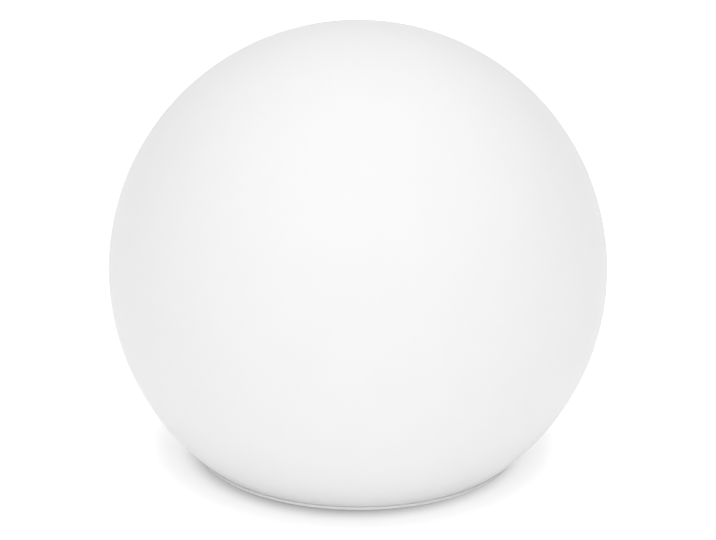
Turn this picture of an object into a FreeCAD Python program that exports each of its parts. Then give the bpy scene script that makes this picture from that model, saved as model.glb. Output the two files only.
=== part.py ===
import FreeCAD, Part
import math
import os
import re
import Sketcher

# A cordless garden globe light: an opal ball, cut flat below, that stands on a
# thin round base plate. The plate carries a sealed module of two cells, a
# control board and a round LED board, and has its controls in a recess below.
# Millimetres, +Z up, the origin on the ground under the middle of the ball.

Vector = FreeCAD.Vector
document = FreeCAD.newDocument("GardenGlobeLight")
sheet = document.addObject("Spreadsheet::Sheet", "Sizes")

# ---------------------------------------------------------------- the sizes

DRIVING = [
    # ball
    ("ball_radius", 150),
    ("lower_radius", 147),          # the half below the equator is a little fuller
    ("centre_height", 114.6),
    ("ball_wall", 3),
    ("seam_height", 2.2),           # lower edge of the ball above the ground
    ("seam_gap", 0.3),
    ("lip_land", 5),                # width of the ball's flat lower edge
    ("flange_rise", 1.5),           # from the lower edge up to the inner flange
    ("flange_thick", 3),
    ("opening_room", 1.5),          # between the module's bosses and the flange
    # screws between ball and plate
    ("ball_screw_count", 6),
    ("ball_screw_edge", 11),        # from the cut edge of the ball in to the screws
    ("ball_screw_radius", 2),
    ("ball_screw_length", 14),
    ("insert_radius", 2.8),
    ("insert_length", 8),
    ("ball_boss_radius", 5),
    ("ball_boss_wall", 2.5),        # over the blind end of the screw's hole
    # base plate
    ("floor_gap", 0.4),             # the pads keep the plate this far off the ground
    ("rim_proud", 1.3),
    ("rim_round", 0.4),
    ("spigot_gap", 0.4),
    ("foot_radius", 5),
    ("foot_thick", 1.4),
    ("foot_count", 4),
    ("foot_edge", 14.4),            # from the cut edge of the ball in to the pads
    ("gasket_width", 2.5),
    ("gasket_depth", 1.2),
    # control recess
    ("well_radius", 32),
    ("well_depth", 17.6),
    ("well_wall", 2.5),
    ("port_place", 14),
    ("button_place", 14),
    ("light_place", 18),
    # charging socket and its hinged cover
    ("socket_bore", 3.1),
    ("socket_bore_depth", 8),
    ("socket_nose", 4.4),
    ("socket_body", 5.5),
    ("socket_pin_radius", 1.05),
    ("socket_pin_inset", 1.5),
    ("socket_seal_width", 0.9),
    ("cover_radius", 5.6),
    ("cover_thick", 1.6),
    ("cover_seal_thick", 1),
    ("cover_seal_radius", 5),
    ("cover_gap", 0.2),
    ("plug_radius", 2.6),
    ("plug_height", 1.2),
    ("hinge_offset", 7.8),          # from the socket's axis to the hinge pin
    ("hinge_radius", 1.75),
    ("hinge_width", 8),
    ("hinge_gap", 0.3),
    ("hinge_lug_width", 2),
    ("hinge_pin_radius", 0.8),
    ("pull_tab", 1),
    # button and switch
    ("button_radius", 6),
    ("button_proud", 1.6),
    ("button_flange", 1.2),
    ("button_flange_thick", 1),
    ("button_rest_gap", 0.2),
    ("button_travel", 1),
    ("button_post_radius", 2.2),
    ("button_post_height", 0.7),
    ("collar_wall", 1.5),
    ("collar_height", 2),
    ("stem_radius", 1.7),
    ("stem_reach", 1.3),            # of the stem, out of the switch
    ("stem_inside", 1.2),
    ("switch_size", 7),
    ("switch_height", 3.8),
    # charging light
    ("pipe_radius", 1.5),
    ("pipe_proud", 0.4),
    ("pipe_head", 0.9),
    ("pipe_head_thick", 1),
    ("led_gap", 0.3),
    ("status_led_height", 0.6),
    # control board
    ("board_radius", 30),
    ("board_thick", 1.6),
    ("board_screw_edge", 4),
    ("board_screw_radius", 1.25),
    ("board_screw_length", 8),
    ("board_screw_count", 4),
    ("standoff_radius", 3),
    ("terminal_height", 6),
    ("terminal_depth", 7),
    ("terminal_edge", 6),           # from the board's edge in to the terminals
    ("chip_size", 8),
    ("chip_height", 1.2),
    ("coil_size", 10),
    ("coil_height", 5),
    ("coil_gap", 2),
    ("capacitor_radius", 3.15),
    ("capacitor_height", 5.8),
    ("capacitor_place", 15),
    # battery
    ("cell_radius", 9.2),
    ("cell_length", 65),
    ("cell_nub_radius", 2.8),
    ("cell_nub_height", 0.8),
    ("cell_gap", 0.6),
    ("cell_side_room", 0.3),
    ("contact_plate", 0.5),
    ("contact_depth", 1.5),
    ("contact_width", 10),
    ("tray_wall", 2),
    ("tray_floor", 2),
    ("tray_height", 12),
    ("tray_over_board", 8),
    ("tray_ear_thick", 3),
    ("tray_ear_width", 10),
    ("tray_screw_reach", 7),        # from the tray's end out to its screw
    ("tray_screw_radius", 1.5),
    ("tray_screw_length", 10),
    ("tray_post_radius", 3.5),
    # module housing
    ("housing_wall", 2.5),
    ("housing_room", 3.5),          # between the tray's posts and the housing
    ("housing_roof", 2.5),
    ("cell_headroom", 1.5),
    ("housing_screw_count", 4),
    ("housing_screw_radius", 1.5),
    ("housing_screw_length", 10),
    ("housing_boss_radius", 4),
    ("housing_boss_out", 3),        # of the boss's axis from the housing's wall
    ("housing_boss_height", 11),
    # light source
    ("spreader_thick", 2),
    ("led_board_thick", 1.6),
    ("led_board_gap", 3),           # from the board's edge to the cover inside
    ("led_board_screw_edge", 3.2),
    ("led_board_screw_radius", 1.5),
    ("led_board_screw_length", 10),
    ("led_board_screw_count", 4),
    ("led_boss_radius", 3.5),
    ("led_boss_depth", 8),
    ("led_size", 5),
    ("led_height", 1.5),
    ("led_edge", 21),               # from the board's edge in to the outer LEDs
    ("led_count_inner", 6),
    ("led_count_outer", 12),
    ("cover_wall", 2),
    ("led_cover_skirt", 9),
    ("led_cover_side", 5),
    ("led_cover_rise", 20),
    ("led_cover_ledge", 2.5),
    ("ring_seal_size", 2),
    ("ring_seal_depth", 1.1),
    ("ring_seal_drop", 4),          # from the housing's roof down to its seal
    # leads
    ("battery_lead_radius", 0.8),
    ("battery_lead_out", 10.3),
    ("battery_lead_over", 2),
    ("led_lead_radius", 0.7),
    ("led_lead_pitch", 5),
    ("grommet_radius", 4.5),
    ("grommet_edge", 13),           # from the LED board's edge in to the leads
    ("grommet_lip", 1),
    # every screw and edge
    ("screw_head", 1.9),            # head radius over shank radius
    ("case_round", 1.5),
    # clearances
    ("screw_room", 0.2),            # round a screw in the piece that it passes
    ("thread_fit", 0.03),           # round a screw in the piece that it grips
    ("running_fit", 0.1),
    ("seat_fit", 0.05),
]

DERIVED = [
    ("cut_radius", "ball_radius - lower_radius"
     " + sqrt(lower_radius^2 - (centre_height - seam_height)^2)"),
    ("lip_inner", "cut_radius - lip_land"),
    ("flange_low", "seam_height + flange_rise"),
    ("flange_top", "flange_low + flange_thick"),
    ("inner_cut_radius", "ball_radius - lower_radius"
     " + sqrt((lower_radius - ball_wall)^2 - (centre_height - flange_top)^2)"),
    ("ball_screw_ring", "cut_radius - ball_screw_edge"),
    ("rim_radius", "cut_radius + rim_proud"),
    ("rim_top", "seam_height - seam_gap"),
    ("spigot_radius", "lip_inner - spigot_gap"),
    ("plate_top", "flange_low - seam_gap"),
    ("foot_ring", "cut_radius - foot_edge"),
    ("well_ceiling", "floor_gap + well_depth"),
    ("ceiling_top", "well_ceiling + well_wall"),
    ("button_low", "well_ceiling - button_proud"),
    ("button_flange_low", "ceiling_top + button_rest_gap"),
    ("button_flange_top", "button_flange_low + button_flange_thick"),
    ("stem_low", "button_flange_top + button_post_height"),
    ("switch_low", "stem_low + stem_reach"),
    ("board_low", "switch_low + switch_height"),
    ("board_top", "board_low + board_thick"),
    ("board_screw_ring", "board_radius - board_screw_edge"),
    ("tray_low", "board_top + tray_over_board"),
    ("tray_half_width", "2 * cell_radius + cell_gap / 2 + cell_side_room"),
    ("tray_half_length", "cell_length / 2 + contact_depth"),
    ("tray_screw_ring", "tray_half_length + tray_wall + tray_screw_reach"),
    ("cell_height", "tray_low + tray_floor + cell_radius + seat_fit"),
    ("cell_place", "cell_radius + cell_gap / 2"),
    ("housing_inner", "tray_screw_ring + tray_post_radius + housing_room"),
    ("housing_radius", "housing_inner + housing_wall"),
    ("housing_screw_ring", "housing_radius + housing_boss_out"),
    ("roof_low", "cell_height + cell_radius + cell_headroom"),
    ("roof_top", "roof_low + housing_roof"),
    ("opening_radius", "housing_screw_ring + housing_boss_radius + opening_room"),
    ("gasket_middle", "(opening_radius + ball_screw_ring - screw_head * ball_screw_radius) / 2"),
    ("spreader_top", "roof_top + spreader_thick"),
    ("led_board_top", "spreader_top + led_board_thick"),
    ("led_board_radius", "housing_radius - led_cover_ledge - led_board_gap"),
    ("led_board_screw_ring", "led_board_radius - led_board_screw_edge"),
    ("led_ring_outer", "led_board_radius - led_edge"),
    ("led_ring_inner", "led_ring_outer / 2"),
    ("led_lead_place", "led_board_radius - grommet_edge"),
    ("seal_middle", "roof_top - ring_seal_drop"),
    ("led_cover_inner", "housing_radius + running_fit"),
    ("led_cover_radius", "led_cover_inner + cover_wall"),
    ("led_cover_shoulder", "led_board_top + led_cover_side"),
    ("hinge_place", "port_place + hinge_offset"),
    ("cover_top", "well_ceiling - cover_gap - cover_seal_thick"),
    ("hinge_height", "cover_top - cover_thick / 2"),
    ("lead_height", "tray_low + tray_height + battery_lead_radius + battery_lead_over"),
]

NAMES = {name for name, value in DRIVING} | {name for name, value in DERIVED}

for row, (name, value) in enumerate(DRIVING + DERIVED, start=1):
    sheet.set(f"A{row}", name)
    sheet.set(f"B{row}", f"={value}" if isinstance(value, str) else str(value))
    sheet.setAlias(f"B{row}", name)
document.recompute()


def linked(formula):
    """A size formula with the sheet's name put before each of its words."""
    def spelled(word):
        return "Sizes." + word.group() if word.group() in NAMES else word.group()
    return re.sub(r"[a-z]\w*", spelled, formula)


def size(formula):
    """The present value of a size formula."""
    return float(sheet.evalExpression(linked(formula)))


# ------------------------------------------------------- ways to make a piece

pieces = []


def new_piece(label):
    """An empty body that will be one node of the light."""
    body = document.addObject("PartDesign::Body", label)
    body.Label = label
    body.AllowCompound = True
    pieces.append(body)
    return body


def datum(body, role):
    """One of a body's own origin planes or axes."""
    return next(item for item in body.Origin.OriginFeatures if item.Role == role)


def outline(body, name, corners, turn=0):
    """A closed sketch on the upright plane that stands turn degrees from +X.

    Each corner is a pair of size formulas: the distance from the Z axis and the
    height. A third entry (radius, centre distance, centre height) makes the
    edge from that corner to the next one an arc.
    """
    sketch = body.newObject("Sketcher::SketchObject", name)
    sketch.AttachmentSupport = [(datum(body, "XZ_Plane"), "")]
    sketch.MapMode = "FlatFace"
    sketch.AttachmentOffset = FreeCAD.Placement(
        Vector(0, 0, 0), FreeCAD.Rotation(Vector(0, 1, 0), turn))
    points = [Vector(size(corner[0]), size(corner[1]), 0) for corner in corners]
    starts = []
    ends = []
    for index, corner in enumerate(corners):
        here = points[index]
        there = points[(index + 1) % len(points)]
        if len(corner) == 2:
            sketch.addGeometry(Part.LineSegment(here, there), False)
            starts.append((index, 1))
            ends.append((index, 2))
            continue
        radius, centre_x, centre_z = corner[2]
        centre = Vector(size(centre_x), size(centre_z), 0)
        first = math.atan2(here.y - centre.y, here.x - centre.x)
        last = math.atan2(there.y - centre.y, there.x - centre.x)
        forward = (last - first) % (2 * math.pi) < math.pi
        circle = Part.Circle(centre, Vector(0, 0, 1), size(radius))
        span = (first, last) if forward else (last, first)
        sketch.addGeometry(Part.ArcOfCircle(circle, *span), False)
        starts.append((index, 1 if forward else 2))
        ends.append((index, 2 if forward else 1))
        bound = sketch.addConstraint(
            Sketcher.Constraint("Radius", index, size(radius)))
        sketch.setExpression(f"Constraints[{bound}]", linked(radius))
    for index, corner in enumerate(corners):
        sketch.addConstraint(Sketcher.Constraint(
            "Coincident", *ends[index - 1], *starts[index]))
        for kind, formula in (("DistanceX", corner[0]), ("DistanceY", corner[1])):
            bound = sketch.addConstraint(Sketcher.Constraint(
                kind, -1, 1, *starts[index], size(formula)))
            sketch.setExpression(f"Constraints[{bound}]", linked(formula))
    return sketch


def turned(body, name, corners, axis=None, turn=0, cut=False):
    """Revolve an outline about the Z axis, or about an upright axis beside it."""
    sketch = outline(body, name + "_outline", corners, turn)
    kind = "PartDesign::Groove" if cut else "PartDesign::Revolution"
    feature = body.newObject(kind, name)
    feature.Profile = sketch
    if axis is None:
        feature.ReferenceAxis = (sketch, ["V_Axis"])
    else:
        place = size(axis)
        line = sketch.addGeometry(
            Part.LineSegment(Vector(place, 0, 0), Vector(place, 1, 0)), True)
        sketch.addConstraint(Sketcher.Constraint("Vertical", line))
        for end, height in ((1, 0), (2, 1)):
            sketch.addConstraint(
                Sketcher.Constraint("DistanceY", -1, 1, line, end, height))
        bound = sketch.addConstraint(
            Sketcher.Constraint("DistanceX", -1, 1, line, 1, place))
        sketch.setExpression(f"Constraints[{bound}]", linked(axis))
        feature.ReferenceAxis = (sketch, ["Axis0"])
    feature.Angle = 360
    body.Tip = feature
    return feature


def ring_of(body, name, features, count):
    """Repeat features evenly round the Z axis."""
    pattern = body.newObject("PartDesign::PolarPattern", name)
    pattern.Originals = features
    pattern.Axis = (datum(body, "Z_Axis"), [""])
    pattern.Angle = 360
    pattern.setExpression("Occurrences", linked(count))
    body.Tip = pattern
    return pattern


def mirrored(body, name, features, role):
    """Repeat features on the other side of one of the upright planes."""
    mirror = body.newObject("PartDesign::Mirrored", name)
    mirror.Originals = features
    mirror.MirrorPlane = (datum(body, role), [""])
    body.Tip = mirror
    return mirror


def block(body, name, low, high, cut=False):
    """A box between two corners, each given as three size formulas."""
    kind = "PartDesign::SubtractiveBox" if cut else "PartDesign::AdditiveBox"
    feature = body.newObject(kind, name)
    sides = zip("xyz", ("Length", "Width", "Height"), low, high)
    for letter, side, near, far in sides:
        feature.setExpression(side, linked(f"({far}) - ({near})"))
        feature.setExpression(f"Placement.Base.{letter}", linked(near))
    body.Tip = feature
    return feature


def rod_along_y(body, name, radius, low, high, centre_x, centre_z, cut=False):
    """A round bar or hole that lies along Y."""
    sketch = body.newObject("Sketcher::SketchObject", name + "_circle")
    sketch.AttachmentSupport = [(datum(body, "XZ_Plane"), "")]
    sketch.MapMode = "FlatFace"
    sketch.setExpression("AttachmentOffset.Base.z", linked(f"-({low})"))
    centre = Vector(size(centre_x), size(centre_z), 0)
    sketch.addGeometry(Part.Circle(centre, Vector(0, 0, 1), size(radius)), False)
    for kind, formula in (("DistanceX", centre_x), ("DistanceY", centre_z)):
        bound = sketch.addConstraint(
            Sketcher.Constraint(kind, -1, 1, 0, 3, size(formula)))
        sketch.setExpression(f"Constraints[{bound}]", linked(formula))
    bound = sketch.addConstraint(Sketcher.Constraint("Radius", 0, size(radius)))
    sketch.setExpression(f"Constraints[{bound}]", linked(radius))
    kind = "PartDesign::Pocket" if cut else "PartDesign::Pad"
    feature = body.newObject(kind, name)
    feature.Profile = sketch
    feature.setExpression("Length", linked(f"({high}) - ({low})"))
    feature.Reversed = not cut
    body.Tip = feature
    return feature


def rounded(body, name, radius, chosen):
    """Round the edges of the piece so far that a test chooses."""
    document.recompute()
    base = body.Tip
    edges = [f"Edge{number}" for number, edge in enumerate(base.Shape.Edges, start=1)
             if chosen(edge)]
    fillet = body.newObject("PartDesign::Fillet", name)
    fillet.Base = (base, edges)
    fillet.setExpression("Radius", linked(radius))
    body.Tip = fillet
    return fillet


def upright(edge):
    """Whether an edge is a straight one along Z."""
    box = edge.BoundBox
    return box.XLength < 1e-6 and box.YLength < 1e-6


def screw_ring(label, ring, turn, count, radius, length, seat, upward):
    """Screws in a ring, all in one node.

    upward screws have a countersunk head below, with its face at the seat
    height. The others point down and have a pan head on top of the seat.
    """
    body = new_piece(label)
    head = f"screw_head * {radius}"
    if upward:
        high = f"{seat} + {length}"
        corners = [
            (ring, seat),
            (f"{ring} + {head}", seat),
            (f"{ring} + {head}", f"{seat} + 0.15 * {radius}"),
            (f"{ring} + {radius}", f"{seat} + 1.05 * {radius}"),
            (f"{ring} + {radius}", f"{high} - 0.4 * {radius}"),
            (f"{ring} + 0.6 * {radius}", high),
            (ring, high),
        ]
    else:
        low = f"{seat} - {length}"
        corners = [
            (ring, low),
            (f"{ring} + 0.6 * {radius}", low),
            (f"{ring} + {radius}", f"{low} + 0.4 * {radius}"),
            (f"{ring} + {radius}", seat),
            (f"{ring} + {head}", seat),
            (f"{ring} + {head}", f"{seat} + 0.8 * {radius}"),
            (f"{ring} + 1.5 * {radius}", f"{seat} + 1.2 * {radius}"),
            (ring, f"{seat} + 1.2 * {radius}"),
        ]
    screw = turned(body, label + "_screw", corners, ring, turn)
    ring_of(body, label + "_ring", [screw], count)
    socket = body.newObject("PartDesign::SubtractivePrism", label + "_socket")
    socket.Polygon = 6
    socket.setExpression("Circumradius", linked(f"0.85 * {radius}"))
    socket.setExpression("Height", linked(f"0.9 * {radius}"))
    socket.setExpression("Placement.Base.x", linked(f"({ring}) * cos({turn} deg)"))
    socket.setExpression("Placement.Base.y", linked(f"({ring}) * sin({turn} deg)"))
    bottom = seat if upward else f"{seat} + 0.3 * {radius}"
    socket.setExpression("Placement.Base.z", linked(bottom))
    body.Tip = socket
    ring_of(body, label + "_sockets", [socket], count)
    return body


def countersink(body, name, ring, turn, radius, seat, top):
    """The hole that a countersunk screw of that radius passes from below."""
    head = f"screw_head * {radius} + screw_room"
    below = f"{seat} - 1"
    return turned(body, name, [
        (ring, below),
        (f"{ring} + {head}", below),
        (f"{ring} + {head}", f"{seat} + 0.15 * {radius}"),
        (f"{ring} + {radius} + screw_room", f"{seat} + 1.05 * {radius}"),
        (f"{ring} + {radius} + screw_room", top),
        (ring, top),
    ], ring, turn, cut=True)


def tube(ring, inner, outer, low, high):
    """Outline of a round tube or disc whose axis stands at the ring's distance."""
    return [
        (f"{ring} + {inner}", low),
        (f"{ring} + {outer}", low),
        (f"{ring} + {outer}", high),
        (f"{ring} + {inner}", high),
    ]


def lead(label, route, radius):
    """A lead held at both ends: straight runs joined by tangent arcs."""
    points = [Vector(*(size(part) for part in point)) for point in route]
    edges = []
    start = points[0]
    length = 0
    for before, corner, after in zip(points, points[1:], points[2:]):
        arriving = (corner - before).normalize()
        leaving = (after - corner).normalize()
        shorter = min((corner - before).Length, (after - corner).Length)
        half_turn = arriving.getAngle(leaving) / 2
        setback = 0.45 * shorter
        bend = setback / math.tan(half_turn)
        inward = (leaving - arriving).normalize()
        middle = corner + inward * (bend / math.cos(half_turn) - bend)
        first = corner - arriving * setback
        last = corner + leaving * setback
        edges.append(Part.LineSegment(start, first).toShape())
        edges.append(Part.Arc(first, middle, last).toShape())
        length += (first - start).Length + 2 * half_turn * bend
        start = last
        print(f"{label}: bend radius {bend:.2f}")
    edges.append(Part.LineSegment(start, points[-1]).toShape())
    length += (points[-1] - start).Length
    path = Part.Wire(edges)
    direction = (points[1] - points[0]).normalize()
    section = Part.Wire(Part.makeCircle(size(radius), points[0], direction))
    solid = path.makePipeShell([section], True, False)
    expected = math.pi * size(radius) ** 2 * length
    print(f"{label}: volume {solid.Volume:.2f}, section times length {expected:.2f}")
    feature = document.addObject("Part::Feature", label)
    feature.Label = label
    feature.Shape = solid
    feature.Placement = FreeCAD.Placement()
    pieces.append(feature)
    return feature


# ------------------------------------------------------------------- the ball

# Where things stand round the Z axis, in degrees from +X.
SCREW_TURN = 0        # the first ball screw
DIAGONAL_TURN = 45    # the first pad, and the first of the module's own screws
PORT_TURN = 0
BUTTON_TURN = 180
LIGHT_TURN = 270
TRAY_TURN = 90        # the first of the tray's posts
CAN_TURN = 300        # the first capacitor

ball_seat = "floor_gap + screw_room"
ball_hole_top = f"{ball_seat} + ball_screw_length + 1"
insert_low = "flange_low + screw_room"
insert_top = f"{insert_low} + insert_length"

globe = new_piece("globe_shell")
turned(globe, "ball", [
    ("0", "centre_height + ball_radius", ("ball_radius", "0", "centre_height")),
    ("ball_radius", "centre_height",
     ("lower_radius", "ball_radius - lower_radius", "centre_height")),
    ("cut_radius", "seam_height"),
    ("lip_inner", "seam_height"),
    ("lip_inner", "flange_low"),
    ("opening_radius", "flange_low"),
    ("opening_radius", "flange_top"),
    ("inner_cut_radius", "flange_top",
     ("lower_radius - ball_wall", "ball_radius - lower_radius", "centre_height")),
    ("ball_radius - ball_wall", "centre_height",
     ("ball_radius - ball_wall", "0", "centre_height")),
    ("0", "centre_height + ball_radius - ball_wall"),
])
boss = turned(globe, "ball_boss", tube(
    "ball_screw_ring", "0", "ball_boss_radius",
    "flange_low + flange_thick / 2", f"{ball_hole_top} + ball_boss_wall"),
    "ball_screw_ring", SCREW_TURN)
ring_of(globe, "ball_bosses", [boss], "ball_screw_count")
hole = turned(globe, "insert_hole", [
    ("ball_screw_ring", "flange_low - 1"),
    ("ball_screw_ring + insert_radius + thread_fit", "flange_low - 1"),
    ("ball_screw_ring + insert_radius + thread_fit", insert_top),
    ("ball_screw_ring + ball_screw_radius + screw_room", insert_top),
    ("ball_screw_ring + ball_screw_radius + screw_room", ball_hole_top),
    ("ball_screw_ring", ball_hole_top),
], "ball_screw_ring", SCREW_TURN, cut=True)
ring_of(globe, "insert_holes", [hole], "ball_screw_count")

inserts = new_piece("shell_inserts")
insert = turned(inserts, "insert", tube(
    "ball_screw_ring", "ball_screw_radius + thread_fit", "insert_radius",
    insert_low, insert_top), "ball_screw_ring", SCREW_TURN)
ring_of(inserts, "insert_ring", [insert], "ball_screw_count")

# -------------------------------------------------------------- the base plate

gasket_outer = "gasket_middle + gasket_width / 2"
gasket_inner = "gasket_middle - gasket_width / 2"
groove_low = "plate_top - gasket_depth"
well_outer = "well_radius + well_wall"
housing_seat = "floor_gap + screw_room"

plate = new_piece("base_plate")
turned(plate, "plate", [
    ("rim_radius - rim_round", "floor_gap",
     ("rim_round", "rim_radius - rim_round", "floor_gap + rim_round")),
    ("rim_radius", "floor_gap + rim_round"),
    ("rim_radius", "rim_top - rim_round",
     ("rim_round", "rim_radius - rim_round", "rim_top - rim_round")),
    ("rim_radius - rim_round", "rim_top"),
    ("spigot_radius", "rim_top"),
    ("spigot_radius", "plate_top"),
    (f"{gasket_outer} + running_fit", "plate_top"),
    (f"{gasket_outer} + running_fit", groove_low),
    (f"{gasket_inner} - running_fit", groove_low),
    (f"{gasket_inner} - running_fit", "plate_top"),
    (well_outer, "plate_top"),
    (well_outer, "ceiling_top"),
    ("0", "ceiling_top"),
    ("0", "well_ceiling"),
    ("well_radius", "well_ceiling"),
    ("well_radius", "floor_gap"),
])
standoff = turned(plate, "standoff", tube(
    "board_screw_ring", "0", "standoff_radius", "well_ceiling + well_wall / 2",
    "board_low"), "board_screw_ring", DIAGONAL_TURN)
pilot = turned(plate, "standoff_pilot", tube(
    "board_screw_ring", "0", "board_screw_radius + thread_fit",
    "board_top - board_screw_length - screw_room", "board_top"),
    "board_screw_ring", DIAGONAL_TURN, cut=True)
ring_of(plate, "standoffs", [standoff, pilot], "board_screw_count")
post = turned(plate, "tray_post", tube(
    "tray_screw_ring", "0", "tray_post_radius", "plate_top - seam_gap", "tray_low"),
    "tray_screw_ring", TRAY_TURN)
tray_seat = "tray_low + tray_ear_thick"
post_pilot = turned(plate, "tray_post_pilot", tube(
    "tray_screw_ring", "0", "tray_screw_radius + thread_fit",
    f"{tray_seat} - tray_screw_length - screw_room", tray_seat),
    "tray_screw_ring", TRAY_TURN, cut=True)
ring_of(plate, "tray_posts", [post, post_pilot], "2")
ball_hole = countersink(plate, "ball_screw_hole", "ball_screw_ring", SCREW_TURN,
                        "ball_screw_radius", ball_seat, "plate_top + 1")
ring_of(plate, "ball_screw_holes", [ball_hole], "ball_screw_count")
housing_hole = countersink(plate, "housing_screw_hole", "housing_screw_ring",
                           DIAGONAL_TURN, "housing_screw_radius", housing_seat,
                           "plate_top + 1")
ring_of(plate, "housing_screw_holes", [housing_hole], "housing_screw_count")
pocket = turned(plate, "foot_pocket", tube(
    "foot_ring", "0", "foot_radius + running_fit", "0", "foot_thick"),
    "foot_ring", DIAGONAL_TURN, cut=True)
ring_of(plate, "foot_pockets", [pocket], "foot_count")
collar = "button_radius + button_flange + 3 * running_fit"
turned(plate, "button_collar", tube(
    "button_place", collar, f"{collar} + collar_wall",
    "well_ceiling + well_wall / 2", "ceiling_top + collar_height"),
    "button_place", BUTTON_TURN)
turned(plate, "button_hole", tube(
    "button_place", "0", "button_radius + running_fit", "well_ceiling - 1",
    "ceiling_top + 1"), "button_place", BUTTON_TURN, cut=True)
turned(plate, "pipe_hole", tube(
    "light_place", "0", "pipe_radius + thread_fit", "well_ceiling - 1",
    "ceiling_top + 1"), "light_place", LIGHT_TURN, cut=True)
turned(plate, "socket_hole", tube(
    "port_place", "0", "socket_nose + socket_seal_width", "well_ceiling - 1",
    "ceiling_top + 1"), "port_place", PORT_TURN, cut=True)
lug_near = "hinge_width / 2 + hinge_gap"
lug_far = f"{lug_near} + hinge_lug_width"
for side, low, high in (("left", f"-({lug_far})", f"-({lug_near})"),
                        ("right", lug_near, lug_far)):
    block(plate, f"hinge_lug_{side}",
          ("hinge_place - hinge_radius", low, "hinge_height"),
          ("hinge_place + hinge_radius", high, "well_ceiling + well_wall / 2"))
    rod_along_y(plate, f"hinge_lug_nose_{side}", "hinge_radius", low, high,
                "hinge_place", "hinge_height")
rod_along_y(plate, "hinge_pin_hole", "hinge_pin_radius + thread_fit",
            f"-({lug_far}) - 1", f"{lug_far} + 1", "hinge_place", "hinge_height",
            cut=True)

gasket = new_piece("base_gasket")
turned(gasket, "gasket", tube("0", gasket_inner, gasket_outer, groove_low,
                              "flange_low"))

feet = new_piece("foot_pads")
foot = turned(feet, "foot", [
    ("foot_ring", "0"),
    ("foot_ring + foot_radius - floor_gap", "0"),
    ("foot_ring + foot_radius", "floor_gap"),
    ("foot_ring + foot_radius", "foot_thick"),
    ("foot_ring", "foot_thick"),
], "foot_ring", DIAGONAL_TURN)
ring_of(feet, "foot_ring_of_pads", [foot], "foot_count")

screw_ring("base_screws", "ball_screw_ring", SCREW_TURN, "ball_screw_count",
           "ball_screw_radius", "ball_screw_length", ball_seat, True)
screw_ring("housing_screws", "housing_screw_ring", DIAGONAL_TURN,
           "housing_screw_count", "housing_screw_radius", "housing_screw_length",
           housing_seat, True)

# --------------------------------------------- the charging socket and its cover

socket = new_piece("charge_socket")
socket_shoulder = "ceiling_top + seat_fit"
turned(socket, "socket", [
    ("port_place + socket_bore", "well_ceiling"),
    ("port_place + socket_nose", "well_ceiling"),
    ("port_place + socket_nose", socket_shoulder),
    ("port_place + socket_body", socket_shoulder),
    ("port_place + socket_body", "board_low"),
    ("port_place", "board_low"),
    ("port_place", "well_ceiling + socket_bore_depth"),
    ("port_place + socket_bore", "well_ceiling + socket_bore_depth"),
], "port_place", PORT_TURN)

socket_pin = new_piece("socket_pin")
turned(socket_pin, "pin", [
    ("port_place", "well_ceiling + socket_pin_inset"),
    ("port_place + socket_pin_radius / 2", "well_ceiling + socket_pin_inset"),
    ("port_place + socket_pin_radius",
     "well_ceiling + socket_pin_inset + socket_pin_radius / 2"),
    ("port_place + socket_pin_radius", "well_ceiling + socket_bore_depth"),
    ("port_place", "well_ceiling + socket_bore_depth"),
], "port_place", PORT_TURN)

socket_seal = new_piece("socket_seal")
turned(socket_seal, "seal", tube(
    "port_place", "socket_nose + thread_fit",
    "socket_nose + socket_seal_width - thread_fit",
    "well_ceiling + seat_fit", "ceiling_top"), "port_place", PORT_TURN)

cover = new_piece("port_cover")
cover_low = "cover_top - cover_thick"
turned(cover, "cover_disc", [
    ("port_place", cover_low),
    ("port_place + cover_radius - rim_round", cover_low),
    ("port_place + cover_radius", f"{cover_low} + rim_round"),
    ("port_place + cover_radius", "cover_top"),
    ("port_place", "cover_top"),
], "port_place", PORT_TURN)
block(cover, "cover_arm", ("port_place", "-hinge_width / 2", cover_low),
      ("hinge_place", "hinge_width / 2", "cover_top"))
block(cover, "cover_tab",
      ("port_place - cover_radius - pull_tab", "-hinge_width / 4", cover_low),
      ("port_place", "hinge_width / 4", "cover_top - cover_thick / 3"))
rod_along_y(cover, "cover_knuckle", "hinge_radius", "-hinge_width / 2",
            "hinge_width / 2", "hinge_place", "hinge_height")
rod_along_y(cover, "cover_pin_hole", "hinge_pin_radius + running_fit",
            "-hinge_width / 2 - 1", "hinge_width / 2 + 1", "hinge_place",
            "hinge_height", cut=True)

cover_seal = new_piece("cover_seal")
turned(cover_seal, "plug", [
    ("port_place", "cover_top"),
    ("port_place + cover_seal_radius", "cover_top"),
    ("port_place + cover_seal_radius", "cover_top + cover_seal_thick"),
    ("port_place + plug_radius", "cover_top + cover_seal_thick"),
    ("port_place + plug_radius", "well_ceiling + plug_height / 2"),
    ("port_place + plug_radius * 0.8", "well_ceiling + plug_height"),
    ("port_place", "well_ceiling + plug_height"),
], "port_place", PORT_TURN)

hinge_pin = new_piece("cover_pin")
rod_along_y(hinge_pin, "hinge_pin", "hinge_pin_radius", f"-({lug_far})", lug_far,
            "hinge_place", "hinge_height")

# ------------------------------------------------------- the button and switch

button = new_piece("power_button")
turned(button, "button", [
    ("button_place", "button_low + rim_round"),
    ("button_place + button_radius / 2", "button_low"),
    ("button_place + button_radius - rim_round", "button_low"),
    ("button_place + button_radius", "button_low + rim_round"),
    ("button_place + button_radius", "button_flange_low"),
    ("button_place + button_radius + button_flange", "button_flange_low"),
    ("button_place + button_radius + button_flange", "button_flange_top"),
    ("button_place + button_post_radius", "button_flange_top"),
    ("button_place + button_post_radius", "stem_low"),
    ("button_place", "stem_low"),
], "button_place", BUTTON_TURN)

stem = new_piece("switch_stem")
turned(stem, "stem", tube("button_place", "0", "stem_radius", "stem_low",
                          "switch_low + stem_inside"), "button_place", BUTTON_TURN)

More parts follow.
